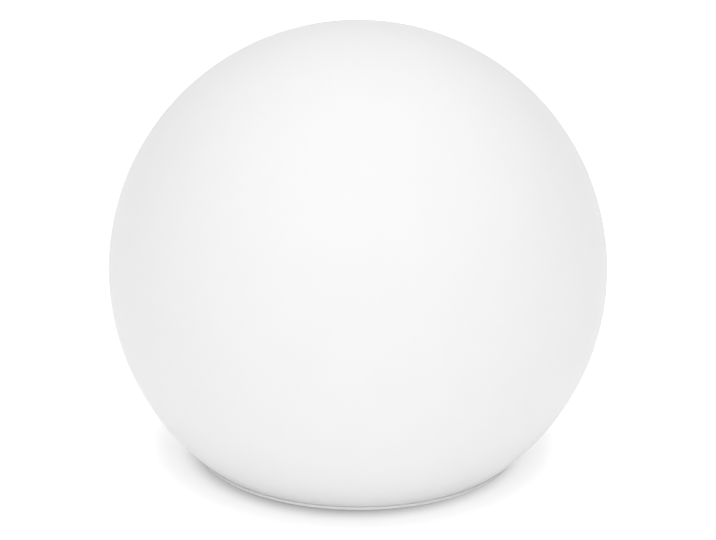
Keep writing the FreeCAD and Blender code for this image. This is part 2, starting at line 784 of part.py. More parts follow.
switch = new_piece("push_switch")
block(switch, "switch_body",
      ("-button_place - switch_size / 2", "-switch_size / 2", "switch_low"),
      ("-button_place + switch_size / 2", "switch_size / 2", "board_low"))
rounded(switch, "switch_edges", "rim_round", upright)
turned(switch, "switch_bore", tube(
    "button_place", "0", "stem_radius + running_fit", "switch_low - 1",
    "switch_low + stem_inside + button_travel + hinge_gap"),
    "button_place", BUTTON_TURN, cut=True)

# ------------------------------------------------------------ the charging light

pipe = new_piece("light_pipe")
pipe_top = "board_low - status_led_height - led_gap"
turned(pipe, "pipe", [
    ("light_place", "well_ceiling - pipe_proud"),
    ("light_place + pipe_radius", "well_ceiling - pipe_proud"),
    ("light_place + pipe_radius", "ceiling_top"),
    ("light_place + pipe_radius + pipe_head", "ceiling_top"),
    ("light_place + pipe_radius + pipe_head", "ceiling_top + pipe_head_thick"),
    ("light_place + pipe_radius", "ceiling_top + pipe_head_thick"),
    ("light_place + pipe_radius", pipe_top),
    ("light_place", pipe_top),
], "light_place", LIGHT_TURN)

status_led = new_piece("status_led")
block(status_led, "status_led_body",
      ("-pipe_radius", "-light_place - pipe_radius / 2",
       "board_low - status_led_height"),
      ("pipe_radius", "-light_place + pipe_radius / 2", "board_low"))

# ------------------------------------------------------------- the control board

board = new_piece("control_board")
turned(board, "board", tube("0", "0", "board_radius", "board_low", "board_top"))
board_hole = turned(board, "board_hole", tube(
    "board_screw_ring", "0", "board_screw_radius + screw_room", "board_low - 1",
    "board_top + 1"), "board_screw_ring", DIAGONAL_TURN, cut=True)
ring_of(board, "board_holes", [board_hole], "board_screw_count")
screw_ring("board_screws", "board_screw_ring", DIAGONAL_TURN, "board_screw_count",
           "board_screw_radius", "board_screw_length", "board_top", False)

chip = new_piece("control_chip")
block(chip, "chip_body", ("-chip_size / 2", "-chip_size / 2", "board_top"),
      ("chip_size / 2", "chip_size / 2", "board_top + chip_height"))

coil = new_piece("driver_coil")
coil_right = "-chip_size / 2 - coil_gap"
block(coil, "coil_body", (f"{coil_right} - coil_size", "-coil_size / 2", "board_top"),
      (coil_right, "coil_size / 2", "board_top + coil_height"))
rounded(coil, "coil_edges", "case_round", upright)

capacitors = new_piece("board_capacitors")
can = turned(capacitors, "can", [
    ("capacitor_place", "board_top"),
    ("capacitor_place + capacitor_radius", "board_top"),
    ("capacitor_place + capacitor_radius", "board_top + capacitor_height - rim_round"),
    ("capacitor_place + capacitor_radius - rim_round", "board_top + capacitor_height"),
    ("capacitor_place", "board_top + capacitor_height"),
], "capacitor_place", CAN_TURN)
ring_of(capacitors, "cans", [can], "2")

terminal_far = "board_radius - terminal_edge"
terminal_near = f"{terminal_far} - terminal_depth"
terminal_top = "board_top + terminal_height"
battery_terminals = new_piece("battery_terminals")
terminal = block(battery_terminals, "terminal",
                 ("cell_place - contact_width / 4", terminal_near, "board_top"),
                 ("cell_place + contact_width / 4", terminal_far, terminal_top))
mirrored(battery_terminals, "terminals", [terminal], "YZ_Plane")
led_terminal = new_piece("led_terminal")
block(led_terminal, "terminal_body", (terminal_near, "-led_lead_pitch", "board_top"),
      (terminal_far, "led_lead_pitch", terminal_top))

# ------------------------------------------------------------------- the battery

tray = new_piece("battery_tray")
ear_end = "tray_screw_ring + tray_ear_width / 2"
block(tray, "tray_body",
      ("-tray_half_width - tray_wall", "-tray_half_length - tray_wall", "tray_low"),
      ("tray_half_width + tray_wall", "tray_half_length + tray_wall",
       "tray_low + tray_height"))
rounded(tray, "tray_corners", "case_round", upright)
block(tray, "tray_space",
      ("-tray_half_width", "-tray_half_length", "tray_low + tray_floor"),
      ("tray_half_width", "tray_half_length", "tray_low + tray_height + 1"), cut=True)
ear = block(tray, "tray_ear",
            ("-tray_ear_width / 2", "tray_half_length", "tray_low"),
            ("tray_ear_width / 2", ear_end, tray_seat))
ring_of(tray, "tray_ears", [ear], "2")
ear_hole = turned(tray, "tray_ear_hole", tube(
    "tray_screw_ring", "0", "tray_screw_radius + screw_room", "tray_low - 1",
    f"{tray_seat} + 1"), "tray_screw_ring", TRAY_TURN, cut=True)
ring_of(tray, "tray_ear_holes", [ear_hole], "2")
screw_ring("tray_screws", "tray_screw_ring", TRAY_TURN, "2", "tray_screw_radius",
           "tray_screw_length", tray_seat, False)

for label, side, heading in (("battery_cell_1", "-", "+"), ("battery_cell_2", "+", "-")):
    cell = new_piece(label)
    body_length = "cell_length - cell_nub_height"
    turned(cell, label + "_can", [
        ("0", "0"),
        ("cell_radius - rim_round", "0"),
        ("cell_radius", "rim_round"),
        ("cell_radius", f"{body_length} - rim_round"),
        ("cell_radius - rim_round", body_length),
        ("cell_nub_radius", body_length),
        ("cell_nub_radius", "cell_length"),
        ("0", "cell_length"),
    ])
    lying = -90 if heading == "+" else 90
    cell.Placement = FreeCAD.Placement(
        Vector(0, 0, 0), FreeCAD.Rotation(Vector(1, 0, 0), lying))
    start = "-" if heading == "+" else ""
    cell.setExpression("Placement.Base.x", linked(f"{side}cell_place"))
    cell.setExpression("Placement.Base.y", linked(f"{start}cell_length / 2"))
    cell.setExpression("Placement.Base.z", linked("cell_height"))

contacts = new_piece("battery_contacts")
plate_face = "tray_half_length - contact_plate"
contact_low = "cell_height - contact_width / 2"
block(contacts, "link_plate",
      ("-cell_place - contact_width / 2", "-tray_half_length", contact_low),
      ("cell_place + contact_width / 2", f"-({plate_face})",
       "cell_height + contact_width / 2"))
for side, sign in (("left", "-"), ("right", "+")):
    middle = f"{sign}cell_place"
    block(contacts, f"tab_plate_{side}",
          (f"{middle} - contact_width / 2", plate_face, contact_low),
          (f"{middle} + contact_width / 2", "tray_half_length",
           "lead_height + battery_lead_radius + 1"))
    rod_along_y(contacts, f"tab_nub_{side}", "cell_nub_radius", "cell_length / 2",
                plate_face, middle, "cell_height")
    rod_along_y(contacts, f"link_nub_{side}", "cell_nub_radius", f"-({plate_face})",
                "-cell_length / 2", middle, "cell_height")

battery_lead_end = "board_top + terminal_height / 2"
for label, side in (("battery_lead_red", "-"), ("battery_lead_black", "+")):
    across = f"{side}cell_place"
    down = "tray_half_length + battery_lead_out"
    lead(label, [
        (across, "tray_half_length", "lead_height"),
        (across, down, "lead_height"),
        (across, down, battery_lead_end),
        (across, terminal_far, battery_lead_end),
    ], "battery_lead_radius")

# ------------------------------------------------------------ the module housing

seal_low = "seal_middle - ring_seal_size / 2"
seal_high = "seal_middle + ring_seal_size / 2"
seal_floor = "housing_radius - ring_seal_depth"
housing = new_piece("module_housing")
turned(housing, "housing", [
    ("housing_inner", "plate_top"),
    ("housing_radius", "plate_top"),
    ("housing_radius", f"{seal_low} - running_fit"),
    (seal_floor, f"{seal_low} - running_fit"),
    (seal_floor, f"{seal_high} + running_fit"),
    ("housing_radius", f"{seal_high} + running_fit"),
    ("housing_radius", "roof_top"),
    ("0", "roof_top"),
    ("0", "roof_low"),
    ("housing_inner", "roof_low"),
])
housing_boss = turned(housing, "housing_boss", tube(
    "housing_screw_ring", "0", "housing_boss_radius", "plate_top",
    "plate_top + housing_boss_height"), "housing_screw_ring", DIAGONAL_TURN)
housing_pilot = turned(housing, "housing_pilot", tube(
    "housing_screw_ring", "0", "housing_screw_radius + thread_fit", "plate_top - 1",
    f"{housing_seat} + housing_screw_length + screw_room"),
    "housing_screw_ring", DIAGONAL_TURN, cut=True)
ring_of(housing, "housing_bosses", [housing_boss, housing_pilot],
        "housing_screw_count")
led_boss = turned(housing, "led_boss", tube(
    "led_board_screw_ring", "0", "led_boss_radius", "roof_low - led_boss_depth",
    "roof_low + housing_roof / 2"), "led_board_screw_ring", DIAGONAL_TURN)
led_pilot = turned(housing, "led_pilot", tube(
    "led_board_screw_ring", "0", "led_board_screw_radius + thread_fit",
    "led_board_top - led_board_screw_length - screw_room", "roof_top + 1"),
    "led_board_screw_ring", DIAGONAL_TURN, cut=True)
ring_of(housing, "led_bosses", [led_boss, led_pilot], "led_board_screw_count")
turned(housing, "grommet_hole", tube(
    "led_lead_place", "0", "grommet_radius + thread_fit", "roof_low - 1",
    "roof_top + 1"), "led_lead_place", PORT_TURN, cut=True)

grommet = new_piece("lead_grommet")
grommet_hole = "led_lead_radius + thread_fit"
turned(grommet, "grommet", [
    ("led_lead_place", "roof_low - grommet_lip"),
    ("led_lead_place + grommet_radius + grommet_lip", "roof_low - grommet_lip"),
    ("led_lead_place + grommet_radius + grommet_lip", "roof_low"),
    ("led_lead_place + grommet_radius", "roof_low"),
    ("led_lead_place + grommet_radius", "roof_top"),
    ("led_lead_place", "roof_top"),
], "led_lead_place", PORT_TURN)


def lead_holes(body, low, high):
    """Two upright holes for the LED leads, each side of the X axis."""
    for name, side in (("lead_hole_red", "-"), ("lead_hole_black", "")):
        bore = body.newObject("PartDesign::SubtractiveCylinder",
                              f"{body.Label}_{name}")
        bore.setExpression("Radius", linked(grommet_hole))
        bore.setExpression("Height", linked(f"({high}) - ({low})"))
        bore.setExpression("Placement.Base.x", linked("led_lead_place"))
        bore.setExpression("Placement.Base.y", linked(f"{side}led_lead_pitch / 2"))
        bore.setExpression("Placement.Base.z", linked(low))
        body.Tip = bore


lead_holes(grommet, "roof_low - grommet_lip - 1", "roof_top + 1")

# -------------------------------------------------------------- the light source

spreader = new_piece("heat_spreader")
turned(spreader, "spreader", tube("0", "0", "led_board_radius", "roof_top",
                                  "spreader_top"))
led_board = new_piece("led_board")
turned(led_board, "led_board_disc", tube("0", "0", "led_board_radius",
                                         "spreader_top", "led_board_top"))
for body, low, high in ((spreader, "roof_top - 1", "spreader_top + 1"),
                        (led_board, "spreader_top - 1", "led_board_top + 1")):
    disc_hole = turned(body, body.Label + "_hole", tube(
        "led_board_screw_ring", "0", "led_board_screw_radius + screw_room", low,
        high), "led_board_screw_ring", DIAGONAL_TURN, cut=True)
    ring_of(body, body.Label + "_holes", [disc_hole], "led_board_screw_count")
    lead_holes(body, low, high)
screw_ring("led_board_screws", "led_board_screw_ring", DIAGONAL_TURN,
           "led_board_screw_count", "led_board_screw_radius",
           "led_board_screw_length", "led_board_top", False)

leds = new_piece("leds")
for name, ring, count in (("inner", "led_ring_inner", "led_count_inner"),
                          ("outer", "led_ring_outer", "led_count_outer")):
    chip_block = block(leds, f"led_{name}",
                       (f"{ring} - led_size / 2", "-led_size / 2", "led_board_top"),
                       (f"{ring} + led_size / 2", "led_size / 2",
                        "led_board_top + led_height"))
    ring_of(leds, f"leds_{name}", [chip_block], count)

led_lead_top = "led_board_top + led_lead_radius"
for label, side in (("led_lead_red", "-"), ("led_lead_black", "")):
    across = f"{side}led_lead_pitch / 2"
    lead(label, [
        (terminal_far, across, battery_lead_end),
        ("led_lead_place", across, battery_lead_end),
        ("led_lead_place", across, led_lead_top),
    ], "led_lead_radius")

led_cover = new_piece("led_cover")
ledge = "housing_radius - led_cover_ledge"
dome_outer = "(led_cover_radius^2 + led_cover_rise^2) / (2 * led_cover_rise)"
inner_rise = "(led_cover_rise - cover_wall)"
dome_inner = f"(({ledge})^2 + {inner_rise}^2) / (2 * {inner_rise})"
cover_summit = "led_cover_shoulder + led_cover_rise"
turned(led_cover, "dome", [
    ("led_cover_inner", "roof_top - led_cover_skirt"),
    ("led_cover_radius", "roof_top - led_cover_skirt"),
    ("led_cover_radius", "led_cover_shoulder",
     (dome_outer, "0", f"{cover_summit} - ({dome_outer})")),
    ("0", cover_summit),
    ("0", f"{cover_summit} - cover_wall",
     (dome_inner, "0", f"{cover_summit} - cover_wall - ({dome_inner})")),
    (ledge, "led_cover_shoulder"),
    (ledge, "roof_top"),
    ("led_cover_inner", "roof_top"),
])

ring_seal = new_piece("led_cover_seal")
turned(ring_seal, "ring_seal", tube("0", seal_floor, "led_cover_inner", seal_low,
                                    seal_high))

# ------------------------------------------------------------ check and write

document.recompute()
for item in document.Objects:
    if "Invalid" in item.State or "Error" in item.State:
        raise RuntimeError(f"{item.Label} failed: {item.State}")
for piece in pieces:
    if piece.Shape.isNull() or not piece.Shape.isValid() or not piece.Shape.Solids:
        raise RuntimeError(f"{piece.Label} has no valid shape")

os.makedirs("parts", exist_ok=True)
for piece in pieces:
    piece.Shape.exportStep(f"parts/{piece.Label}.step")
    print(f"{piece.Label}: {len(piece.Shape.Solids)} solids,"
          f" {piece.Shape.Volume:.1f} mm3")
whole = pieces[0].Shape.BoundBox
for piece in pieces[1:]:
    whole.add(piece.Shape.BoundBox)
print(f"{len(pieces)} pieces, {whole.XLength:.2f} x {whole.YLength:.2f}"
      f" x {whole.ZLength:.2f}, lowest {whole.ZMin:.3f}")
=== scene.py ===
import math

import bpy
from mathutils import Euler, Matrix, Vector


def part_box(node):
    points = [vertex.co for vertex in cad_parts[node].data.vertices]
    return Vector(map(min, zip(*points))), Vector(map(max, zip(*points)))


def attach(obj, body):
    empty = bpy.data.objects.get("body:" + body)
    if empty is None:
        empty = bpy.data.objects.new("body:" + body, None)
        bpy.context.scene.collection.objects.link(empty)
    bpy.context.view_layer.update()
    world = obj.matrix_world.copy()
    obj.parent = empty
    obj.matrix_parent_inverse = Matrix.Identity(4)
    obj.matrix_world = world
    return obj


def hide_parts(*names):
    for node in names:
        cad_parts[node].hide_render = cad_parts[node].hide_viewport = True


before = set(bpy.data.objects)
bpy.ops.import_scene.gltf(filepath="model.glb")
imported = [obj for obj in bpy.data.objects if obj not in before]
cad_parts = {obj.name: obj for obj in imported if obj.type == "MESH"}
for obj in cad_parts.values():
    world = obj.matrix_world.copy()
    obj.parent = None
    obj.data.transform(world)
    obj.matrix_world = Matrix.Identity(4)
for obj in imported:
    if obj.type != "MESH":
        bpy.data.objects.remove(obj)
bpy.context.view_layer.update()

# ---------------------------------------------------------------- the camera
# It stands 1.8 m in front of the ball, a little over 20 degrees above it, and
# leans by under half a degree. The ball's outline is 499 pixels across.

MM = 0.001      # the camera and the studio are in metres, each piece in millimetres
IMAGE_WIDTH, IMAGE_HEIGHT = 716, 540
CAMERA_DISTANCE = 1.8
CAMERA_RISE = math.radians(20.3)
CAMERA_LEAN = math.radians(0.4)
CAMERA_REACH = 100
OUTLINE_RADIUS_PX = 249.6
OUTLINE_CENTRE_Y_PX = 269

ball_low, ball_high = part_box("globe_shell")
ball_reach = (ball_high.x - ball_low.x) / 2
ball_middle = Vector((0, 0, ball_high.z - ball_reach))
sight = math.sqrt(CAMERA_DISTANCE ** 2 - ball_reach ** 2)
focal_px = OUTLINE_RADIUS_PX * sight / ball_reach
dip = (IMAGE_HEIGHT / 2 - OUTLINE_CENTRE_Y_PX) / focal_px
bpy.ops.object.camera_add(location=ball_middle + CAMERA_DISTANCE * Vector(
    (0, -math.cos(CAMERA_RISE), math.sin(CAMERA_RISE))))
camera = bpy.context.object
aim = Euler((math.pi / 2 - CAMERA_RISE - dip, 0, 0)).to_matrix()
camera.rotation_euler = (aim @ Matrix.Rotation(CAMERA_LEAN, 3, "Z")).to_euler()
camera.data.lens = camera.data.sensor_width * focal_px / IMAGE_WIDTH
camera.data.clip_end = CAMERA_REACH
bpy.context.scene.camera = camera
bpy.context.scene.view_settings.view_transform = "Standard"

# ---------------------------------------------------------------- the studio
# A wide white floor in an even white light that is stronger from above and in
# front. Floor and air are white where a camera sees them. Round the ball's foot
# the floor keeps the shadow that the ball throws, and painted shade darkens it
# further: a grey in the floor's colour, and a glow that fades out towards the foot.

WHITE = (1, 1, 1, 1)
FLOOR_RADIUS = 8
FLOOR_SIDES = 96
FLOOR_WHITE = 0.96
FLOOR_GLOW = 0.68                       # keeps the floor white; faded out near the foot, it paints shade there
PAINTED_SHADE_GLOW_SPAN = (0.0865, 0.1143)      # painted shade: where the glow comes on, out from the middle
PAINTED_CONTACT_SHADE = 0.3                     # painted shade: the share of white that is left at the foot
PAINTED_CONTACT_SPAN = (0.109, 0.175)           # where that painted shade goes off
# The painted shade's middle, a little off the ball's axis, and its stretch along X.
PAINTED_CONTACT_CENTRE = (0.0023, 0.001, 0)
PAINTED_CONTACT_STRETCH = (1.06, 1, 1)
SKY_BACK = 0.11
SKY_FRONT = 1.37
SKY_EDGE = -0.47                        # how far round the sky its light reaches
SKY_SIDE_LOSS = 0.49                    # the share that is missing at both sides
SKY_DIRECTION = Vector((0.01, -0.585, 0.81)).normalized()


def node(tree, kind, *values, **named):
    """Add a shader node. Capitalised names are its inputs, others its settings."""
    made = tree.nodes.new("ShaderNode" + kind)
    inputs = dict(enumerate(values))
    for name, value in named.items():
        if name[0].islower():
            setattr(made, name, value)
        else:
            inputs[name.replace("_", " ")] = value
    for name, value in inputs.items():
        if isinstance(value, bpy.types.NodeSocket):
            tree.links.new(value, made.inputs[name])
        elif value is not None:
            made.inputs[name].default_value = value
    return made


def maths(tree, operation, *values):
    """The result of a calculation with numbers."""
    return node(tree, "Math", *values, operation=operation).outputs[0]


def vectors(tree, operation, *values):
    """The Vector and the Value that a calculation with vectors gives."""
    return node(tree, "VectorMath", *values, operation=operation).outputs


def ramp(tree, value, start, end, low, high, curve="LINEAR"):
    """A value carried from one span to another, and kept inside it."""
    return node(tree, "MapRange", value, From_Min=start, From_Max=end, To_Min=low,
                To_Max=high, interpolation_type=curve).outputs[0]


def seen_directly(tree):
    """A value that is 1 on camera, mirror and glass rays, and 0 on others."""
    ray = node(tree, "LightPath").outputs
    seen = maths(tree, "MAXIMUM", ray["Is Camera Ray"], ray["Is Glossy Ray"])
    return maths(tree, "MAXIMUM", seen, ray["Is Transmission Ray"])


world = bpy.data.worlds.new("studio_air")
bpy.context.scene.world = world
world.use_nodes = True
air = world.node_tree
air.nodes.clear()
heading = node(air, "TexCoord").outputs["Generated"]
towards = vectors(air, "DOT_PRODUCT", heading, SKY_DIRECTION)["Value"]
strength = ramp(air, towards, SKY_EDGE, 1, SKY_BACK, SKY_FRONT, curve="SMOOTHSTEP")
aside = node(air, "SeparateXYZ", heading).outputs["X"]
aside = maths(air, "MULTIPLY", aside, aside)
kept = maths(air, "MULTIPLY_ADD", aside, -SKY_SIDE_LOSS, 1)
lighting = node(air, "Background", WHITE, maths(air, "MULTIPLY", strength, kept))
shown = node(air, "Background", WHITE, 1)
choice = node(air, "MixShader", seen_directly(air), lighting.outputs[0],
              shown.outputs[0])
node(air, "OutputWorld", choice.outputs[0])

bpy.ops.object.select_all(action="DESELECT")
bpy.ops.mesh.primitive_circle_add(vertices=FLOOR_SIDES, radius=FLOOR_RADIUS,
                                  fill_type="NGON")
floor = bpy.context.object
floor.name = "floor"
floor_white_with_painted_shade = bpy.data.materials.new("floor_white_with_painted_shade")
floor_white_with_painted_shade.use_nodes = True
tree = floor_white_with_painted_shade.node_tree
tree.nodes.clear()
# Painted shade round the foot: seen by the camera, the floor's colour greys and its
# glow fades out towards the foot.
place = node(tree, "TexCoord").outputs["Object"]
place = vectors(tree, "ADD", place, PAINTED_CONTACT_CENTRE)["Vector"]
place = vectors(tree, "MULTIPLY", place, PAINTED_CONTACT_STRETCH)["Vector"]
distance = vectors(tree, "LENGTH", place)["Value"]
shade = ramp(tree, distance, *PAINTED_CONTACT_SPAN, FLOOR_WHITE * PAINTED_CONTACT_SHADE, FLOOR_WHITE,
             curve="SMOOTHSTEP")
glow = ramp(tree, distance, *PAINTED_SHADE_GLOW_SPAN, 0, FLOOR_GLOW, curve="SMOOTHSTEP")
plain = node(tree, "BsdfDiffuse", (FLOOR_WHITE,) * 3 + (1,))
painted_shade_diffuse = node(tree, "BsdfDiffuse", shade)
floor_seen_with_painted_shade = node(tree, "AddShader", painted_shade_diffuse.outputs[0],
               node(tree, "Emission", WHITE, glow).outputs[0])
choice = node(tree, "MixShader", seen_directly(tree), plain.outputs[0],
              floor_seen_with_painted_shade.outputs[0])
node(tree, "OutputMaterial", choice.outputs[0])
floor.data.materials.append(floor_white_with_painted_shade)

# ------------------------------------------------------------------ the ball
# Rotationally moulded opal polyethylene, 3 mm thick, in one piece. Its lower
# half is a little fuller than a sphere, and is cut flat round a flange with six
# bosses, whose brass inserts take the base plate's screws.

BALL_WALL = 3
LOWER_RADIUS = 147
LIP_LAND = 5
FLANGE_RISE = 1.5
FLANGE_THICK = 3
OPENING_RADIUS = 61
BALL_EDGE = 0.15
BALL_STEPS = 192
OUTSIDE_STEPS = (90, 50)                # above and below the ball's equator
INSIDE_STEPS = (50, 30)
BOSS_RADIUS = 5
BOSS_ROOT = 1                           # it starts this far up inside the flange
BOSS_TOP = 18.1
BALL_SCREW = 2                          # a screw's size is the radius of its thread
BALL_SCREW_COUNT = 6
BALL_SCREW_EDGE = 11
BALL_SCREW_TOP = 15.6
INSERT_RADIUS = 2.8
INSERT_TOP = 11.9
SCREW_ROOM = 0.2                        # round what passes through a hole
GRIP = 0.03                             # round what a hole holds tight
CLOSE = 0.001                           # corners of an outline this near are one
WELD = 0.01                             # and so are those of a spun piece
SLIVER = 0.002                          # faces and edges this thin are taken out
SMOOTH_ANGLE = 30
EDGE_STEPS = 5


def span(name):
    """The lowest and highest corner of a CAD node, in millimetres."""
    low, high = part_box(name)
    return low / MM, high / MM


def active(piece):
    """Select a piece alone."""
    bpy.ops.object.select_all(action="DESELECT")
    piece.select_set(True)
    bpy.context.view_layer.objects.active = piece


def opened(piece):
    """Open a piece in edit mode, with all of it selected."""
    active(piece)
    bpy.ops.object.mode_set(mode="EDIT")
    bpy.ops.mesh.select_mode(type="VERT")
    bpy.ops.mesh.select_all(action="SELECT")


def arc(middle, radius, start, end, steps=EDGE_STEPS):
    """Points of an arc round middle, from one angle to another, in degrees."""
    angles = [math.radians(start + (end - start) * k / steps) for k in range(steps + 1)]
    return [(middle[0] + radius * math.cos(angle), middle[1] + radius * math.sin(angle))
            for angle in angles]


def lathe(name, outline, at=(0, 0), steps=48, sweep=360):
    """Draw an outline of (distance, height) corners and spin it round an axis.

    The outline of a ring, which starts clear of the axis, is closed first.
    """
    bpy.ops.object.select_all(action="DESELECT")
    points = [Vector((at[0] + r, at[1], z)) * MM for r, z in outline]
    bpy.ops.mesh.primitive_plane_add(size=MM, location=points[0])
    piece = bpy.context.object
    piece.name = name
    bpy.ops.object.transform_apply(location=True)
    bpy.ops.object.mode_set(mode="EDIT")
    bpy.ops.mesh.merge(type="CENTER")
    is_ring = outline[0][0] > CLOSE
    for here, there in zip(points, points[1:] + points[:1] * is_ring):
        bpy.ops.mesh.extrude_vertices_move(
            TRANSFORM_OT_translate={"value": there - here})
    bpy.ops.mesh.select_all(action="SELECT")
    bpy.ops.mesh.remove_doubles(threshold=CLOSE * MM)
    bpy.ops.mesh.spin(steps=steps, angle=math.radians(sweep),
                      center=(at[0] * MM, at[1] * MM, 0), axis=(0, 0, 1))
    bpy.ops.mesh.select_all(action="SELECT")
    bpy.ops.mesh.remove_doubles(threshold=WELD * MM)
    if sweep != 360:
        bpy.ops.mesh.fill_holes(sides=0)
    bpy.ops.mesh.normals_make_consistent(inside=False)
    bpy.ops.object.mode_set(mode="OBJECT")
    return piece


def tube(name, at, inner, outer, low, high, steps=40):
    """An upright tube, or a rod where the inner radius is nothing."""
    outline = [(inner, low), (outer, low), (outer, high), (inner, high)]
    return lathe(name, outline, at=at, steps=steps)


def placed(piece, turn=(0, 0, 0), to=(0, 0, 0)):
    """Turn a piece about the origin, in degrees, and move it, in millimetres."""
    active(piece)
    piece.rotation_euler = [math.radians(angle) for angle in turn]
    piece.location = Vector(to) * MM
    bpy.ops.object.transform_apply(location=True, rotation=True, scale=True)
    return piece


def ring_of(piece, count, turn=0):
    """Turn a piece round the Z axis by some degrees, and repeat it in a ring."""
    opened(placed(piece, turn=(0, 0, turn)))
    for _ in range(count - 1):
        bpy.ops.mesh.duplicate()
        bpy.ops.transform.rotate(value=2 * math.pi / count, orient_axis="Z",
                                 center_override=(0, 0, 0))
    bpy.ops.object.mode_set(mode="OBJECT")
    return piece


def modified(piece, kind, **settings):
    """Put a modifier on a piece and apply it."""
    active(piece)
    modifier = piece.modifiers.new("step", kind)
    for name, value in settings.items():
        setattr(modifier, name, value)
    bpy.ops.object.modifier_apply(modifier=modifier.name)
    return piece


def combined(piece, other, operation):
    """Add another piece's shape to a piece, or cut it out, and throw it away."""
    modified(piece, "BOOLEAN", operation=operation, object=other, solver="EXACT")
    bpy.data.objects.remove(other)
    return piece


def bevelled(piece, width, segments=2, angle=30):
    """Round a piece's sharp edges, by a width in millimetres."""
    return modified(piece, "BEVEL", width=width * MM, segments=segments,
                    limit_method="ANGLE", angle_limit=math.radians(angle))


def fit(piece, body, slot, *names, finish=None):
    """Close a finished piece's slivers, shade it, and put it on its body.

    It stands for the named CAD nodes, and has one finish where one is given.
    """
    opened(piece)
    bpy.ops.mesh.remove_doubles(threshold=SLIVER * MM)
    bpy.ops.mesh.dissolve_degenerate(threshold=SLIVER * MM)
    bpy.ops.object.mode_set(mode="OBJECT")
    bpy.ops.object.shade_smooth_by_angle(angle=math.radians(SMOOTH_ANGLE))
    if finish:
        piece.data.materials.append(finish)
    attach(piece, body)
    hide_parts(*names)


ball_bottom, ball_top = span("globe_shell")
ball_radius = ball_reach / MM
centre_height = ball_top.z - ball_radius
seam = ball_bottom.z
offset = ball_radius - LOWER_RADIUS
drop = math.degrees(math.asin((centre_height - seam) / LOWER_RADIUS))
cut_radius = offset + LOWER_RADIUS * math.cos(math.radians(drop))
flange_low = seam + FLANGE_RISE
flange_top = flange_low + FLANGE_THICK
inner_radius = LOWER_RADIUS - BALL_WALL
inner_drop = math.degrees(math.asin((centre_height - flange_top) / inner_radius))
ball_screw_ring = cut_radius - BALL_SCREW_EDGE
passage = BALL_SCREW + SCREW_ROOM

outline = arc((0, centre_height), ball_radius, 90, 0, OUTSIDE_STEPS[0])
outline += arc((offset, centre_height), LOWER_RADIUS, 0, -drop, OUTSIDE_STEPS[1])[1:]
outline += [(cut_radius - LIP_LAND, seam), (cut_radius - LIP_LAND, flange_low),
            (OPENING_RADIUS, flange_low), (OPENING_RADIUS, flange_top)]
outline += arc((offset, centre_height), inner_radius, -inner_drop, 0, INSIDE_STEPS[1])
outline += arc((0, centre_height), ball_radius - BALL_WALL, 0, 90, INSIDE_STEPS[0])[1:]
ball = bevelled(lathe("ball", outline, steps=BALL_STEPS), BALL_EDGE)
boss = tube("boss", (ball_screw_ring, 0), 0, BOSS_RADIUS, flange_low + BOSS_ROOT,
            BOSS_TOP, 48)
combined(ball, ring_of(boss, BALL_SCREW_COUNT), "UNION")
bore = lathe("bore", [(0, 0), (INSERT_RADIUS + GRIP, 0),
                      (INSERT_RADIUS + GRIP, INSERT_TOP), (passage, INSERT_TOP),
                      (passage, BALL_SCREW_TOP), (0, BALL_SCREW_TOP)],
             at=(ball_screw_ring, 0))
combined(ball, ring_of(bore, BALL_SCREW_COUNT), "DIFFERENCE")

CLOUD_SPAN = (0.3, 0.7)                 # most of a noise's values lie in it


def new_group(name, inputs, outputs):
    """An empty shader group, with its input and output sockets."""
    group = bpy.data.node_groups.new(name, "ShaderNodeTree")
    for label, value in inputs.items():
        group.interface.new_socket(label, in_out="INPUT",
                                   socket_type="NodeSocketFloat").default_value = value
    for label in outputs:
        group.interface.new_socket(label, in_out="OUTPUT",
                                   socket_type="NodeSocketFloat")
    return (group, group.nodes.new("NodeGroupInput").outputs,
            group.nodes.new("NodeGroupOutput").inputs)


def noise(tree, size, where=None, detail=2):
    """Cloudy noise whose clouds have a size in millimetres."""
    where = where or node(tree, "TexCoord").outputs["Object"]
    scale = maths(tree, "DIVIDE", 1 / MM, size)
    return node(tree, "TexNoise", where, Scale=scale, Detail=detail).outputs[0]


moulded_skin, given, wanted = new_group("moulded_skin", {"Grain": 0.5, "Cloud": 30},
                                        ["Height", "Shade"])
grain = noise(moulded_skin, given["Grain"])
cloud = noise(moulded_skin, given["Cloud"], detail=4)
moulded_skin.links.new(grain, wanted["Height"])
moulded_skin.links.new(ramp(moulded_skin, cloud, *CLOUD_SPAN, 0, 1), wanted["Shade"])


def new_material(name):
    """A new material, its nodes and its shader."""
    made = bpy.data.materials.new(name)
    made.use_nodes = True
    return made, made.node_tree, made.node_tree.nodes["Principled BSDF"]


def blend(tree, share, first, second):
    """The first colour where a share is 0, and the second where it is 1."""
    return node(tree, "Mix", share, *[None] * 5, first, second,
                data_type="RGBA").outputs[2]


def skinned(name, skin, colour, roughness, depth, tone=0.03, gloss=0.05, **inputs):
    """A material whose tone, gloss and relief follow one of the shader groups.

    Each other input is the group's where it has one of that name, or the shader's.
    """
    made, tree, shader = new_material(name)
    asked = {item.name for item in skin.interface.items_tree if item.in_out == "INPUT"}
    sizes = {key: value for key, value in inputs.items() if key in asked}
    pattern = node(tree, "Group", node_tree=skin, **sizes).outputs
    dark, light = (tuple(min(c * k, 1) for c in colour) + (1,)
                   for k in (1 - tone, 1 + tone))
    paint = blend(tree, pattern["Shade"], dark, light)
    polish = ramp(tree, pattern["Shade"], 0, 1, roughness - gloss, roughness + gloss)
    bump = node(tree, "Bump", Strength=1, Distance=depth * MM, Height=pattern["Height"])
    tree.links.new(paint, shader.inputs["Base Color"])
    tree.links.new(polish, shader.inputs["Roughness"])
    tree.links.new(bump.outputs[0], shader.inputs["Normal"])
    for key, value in inputs.items():
        if key not in asked:
            shader.inputs[key.replace("_", " ")].default_value = value
    return made


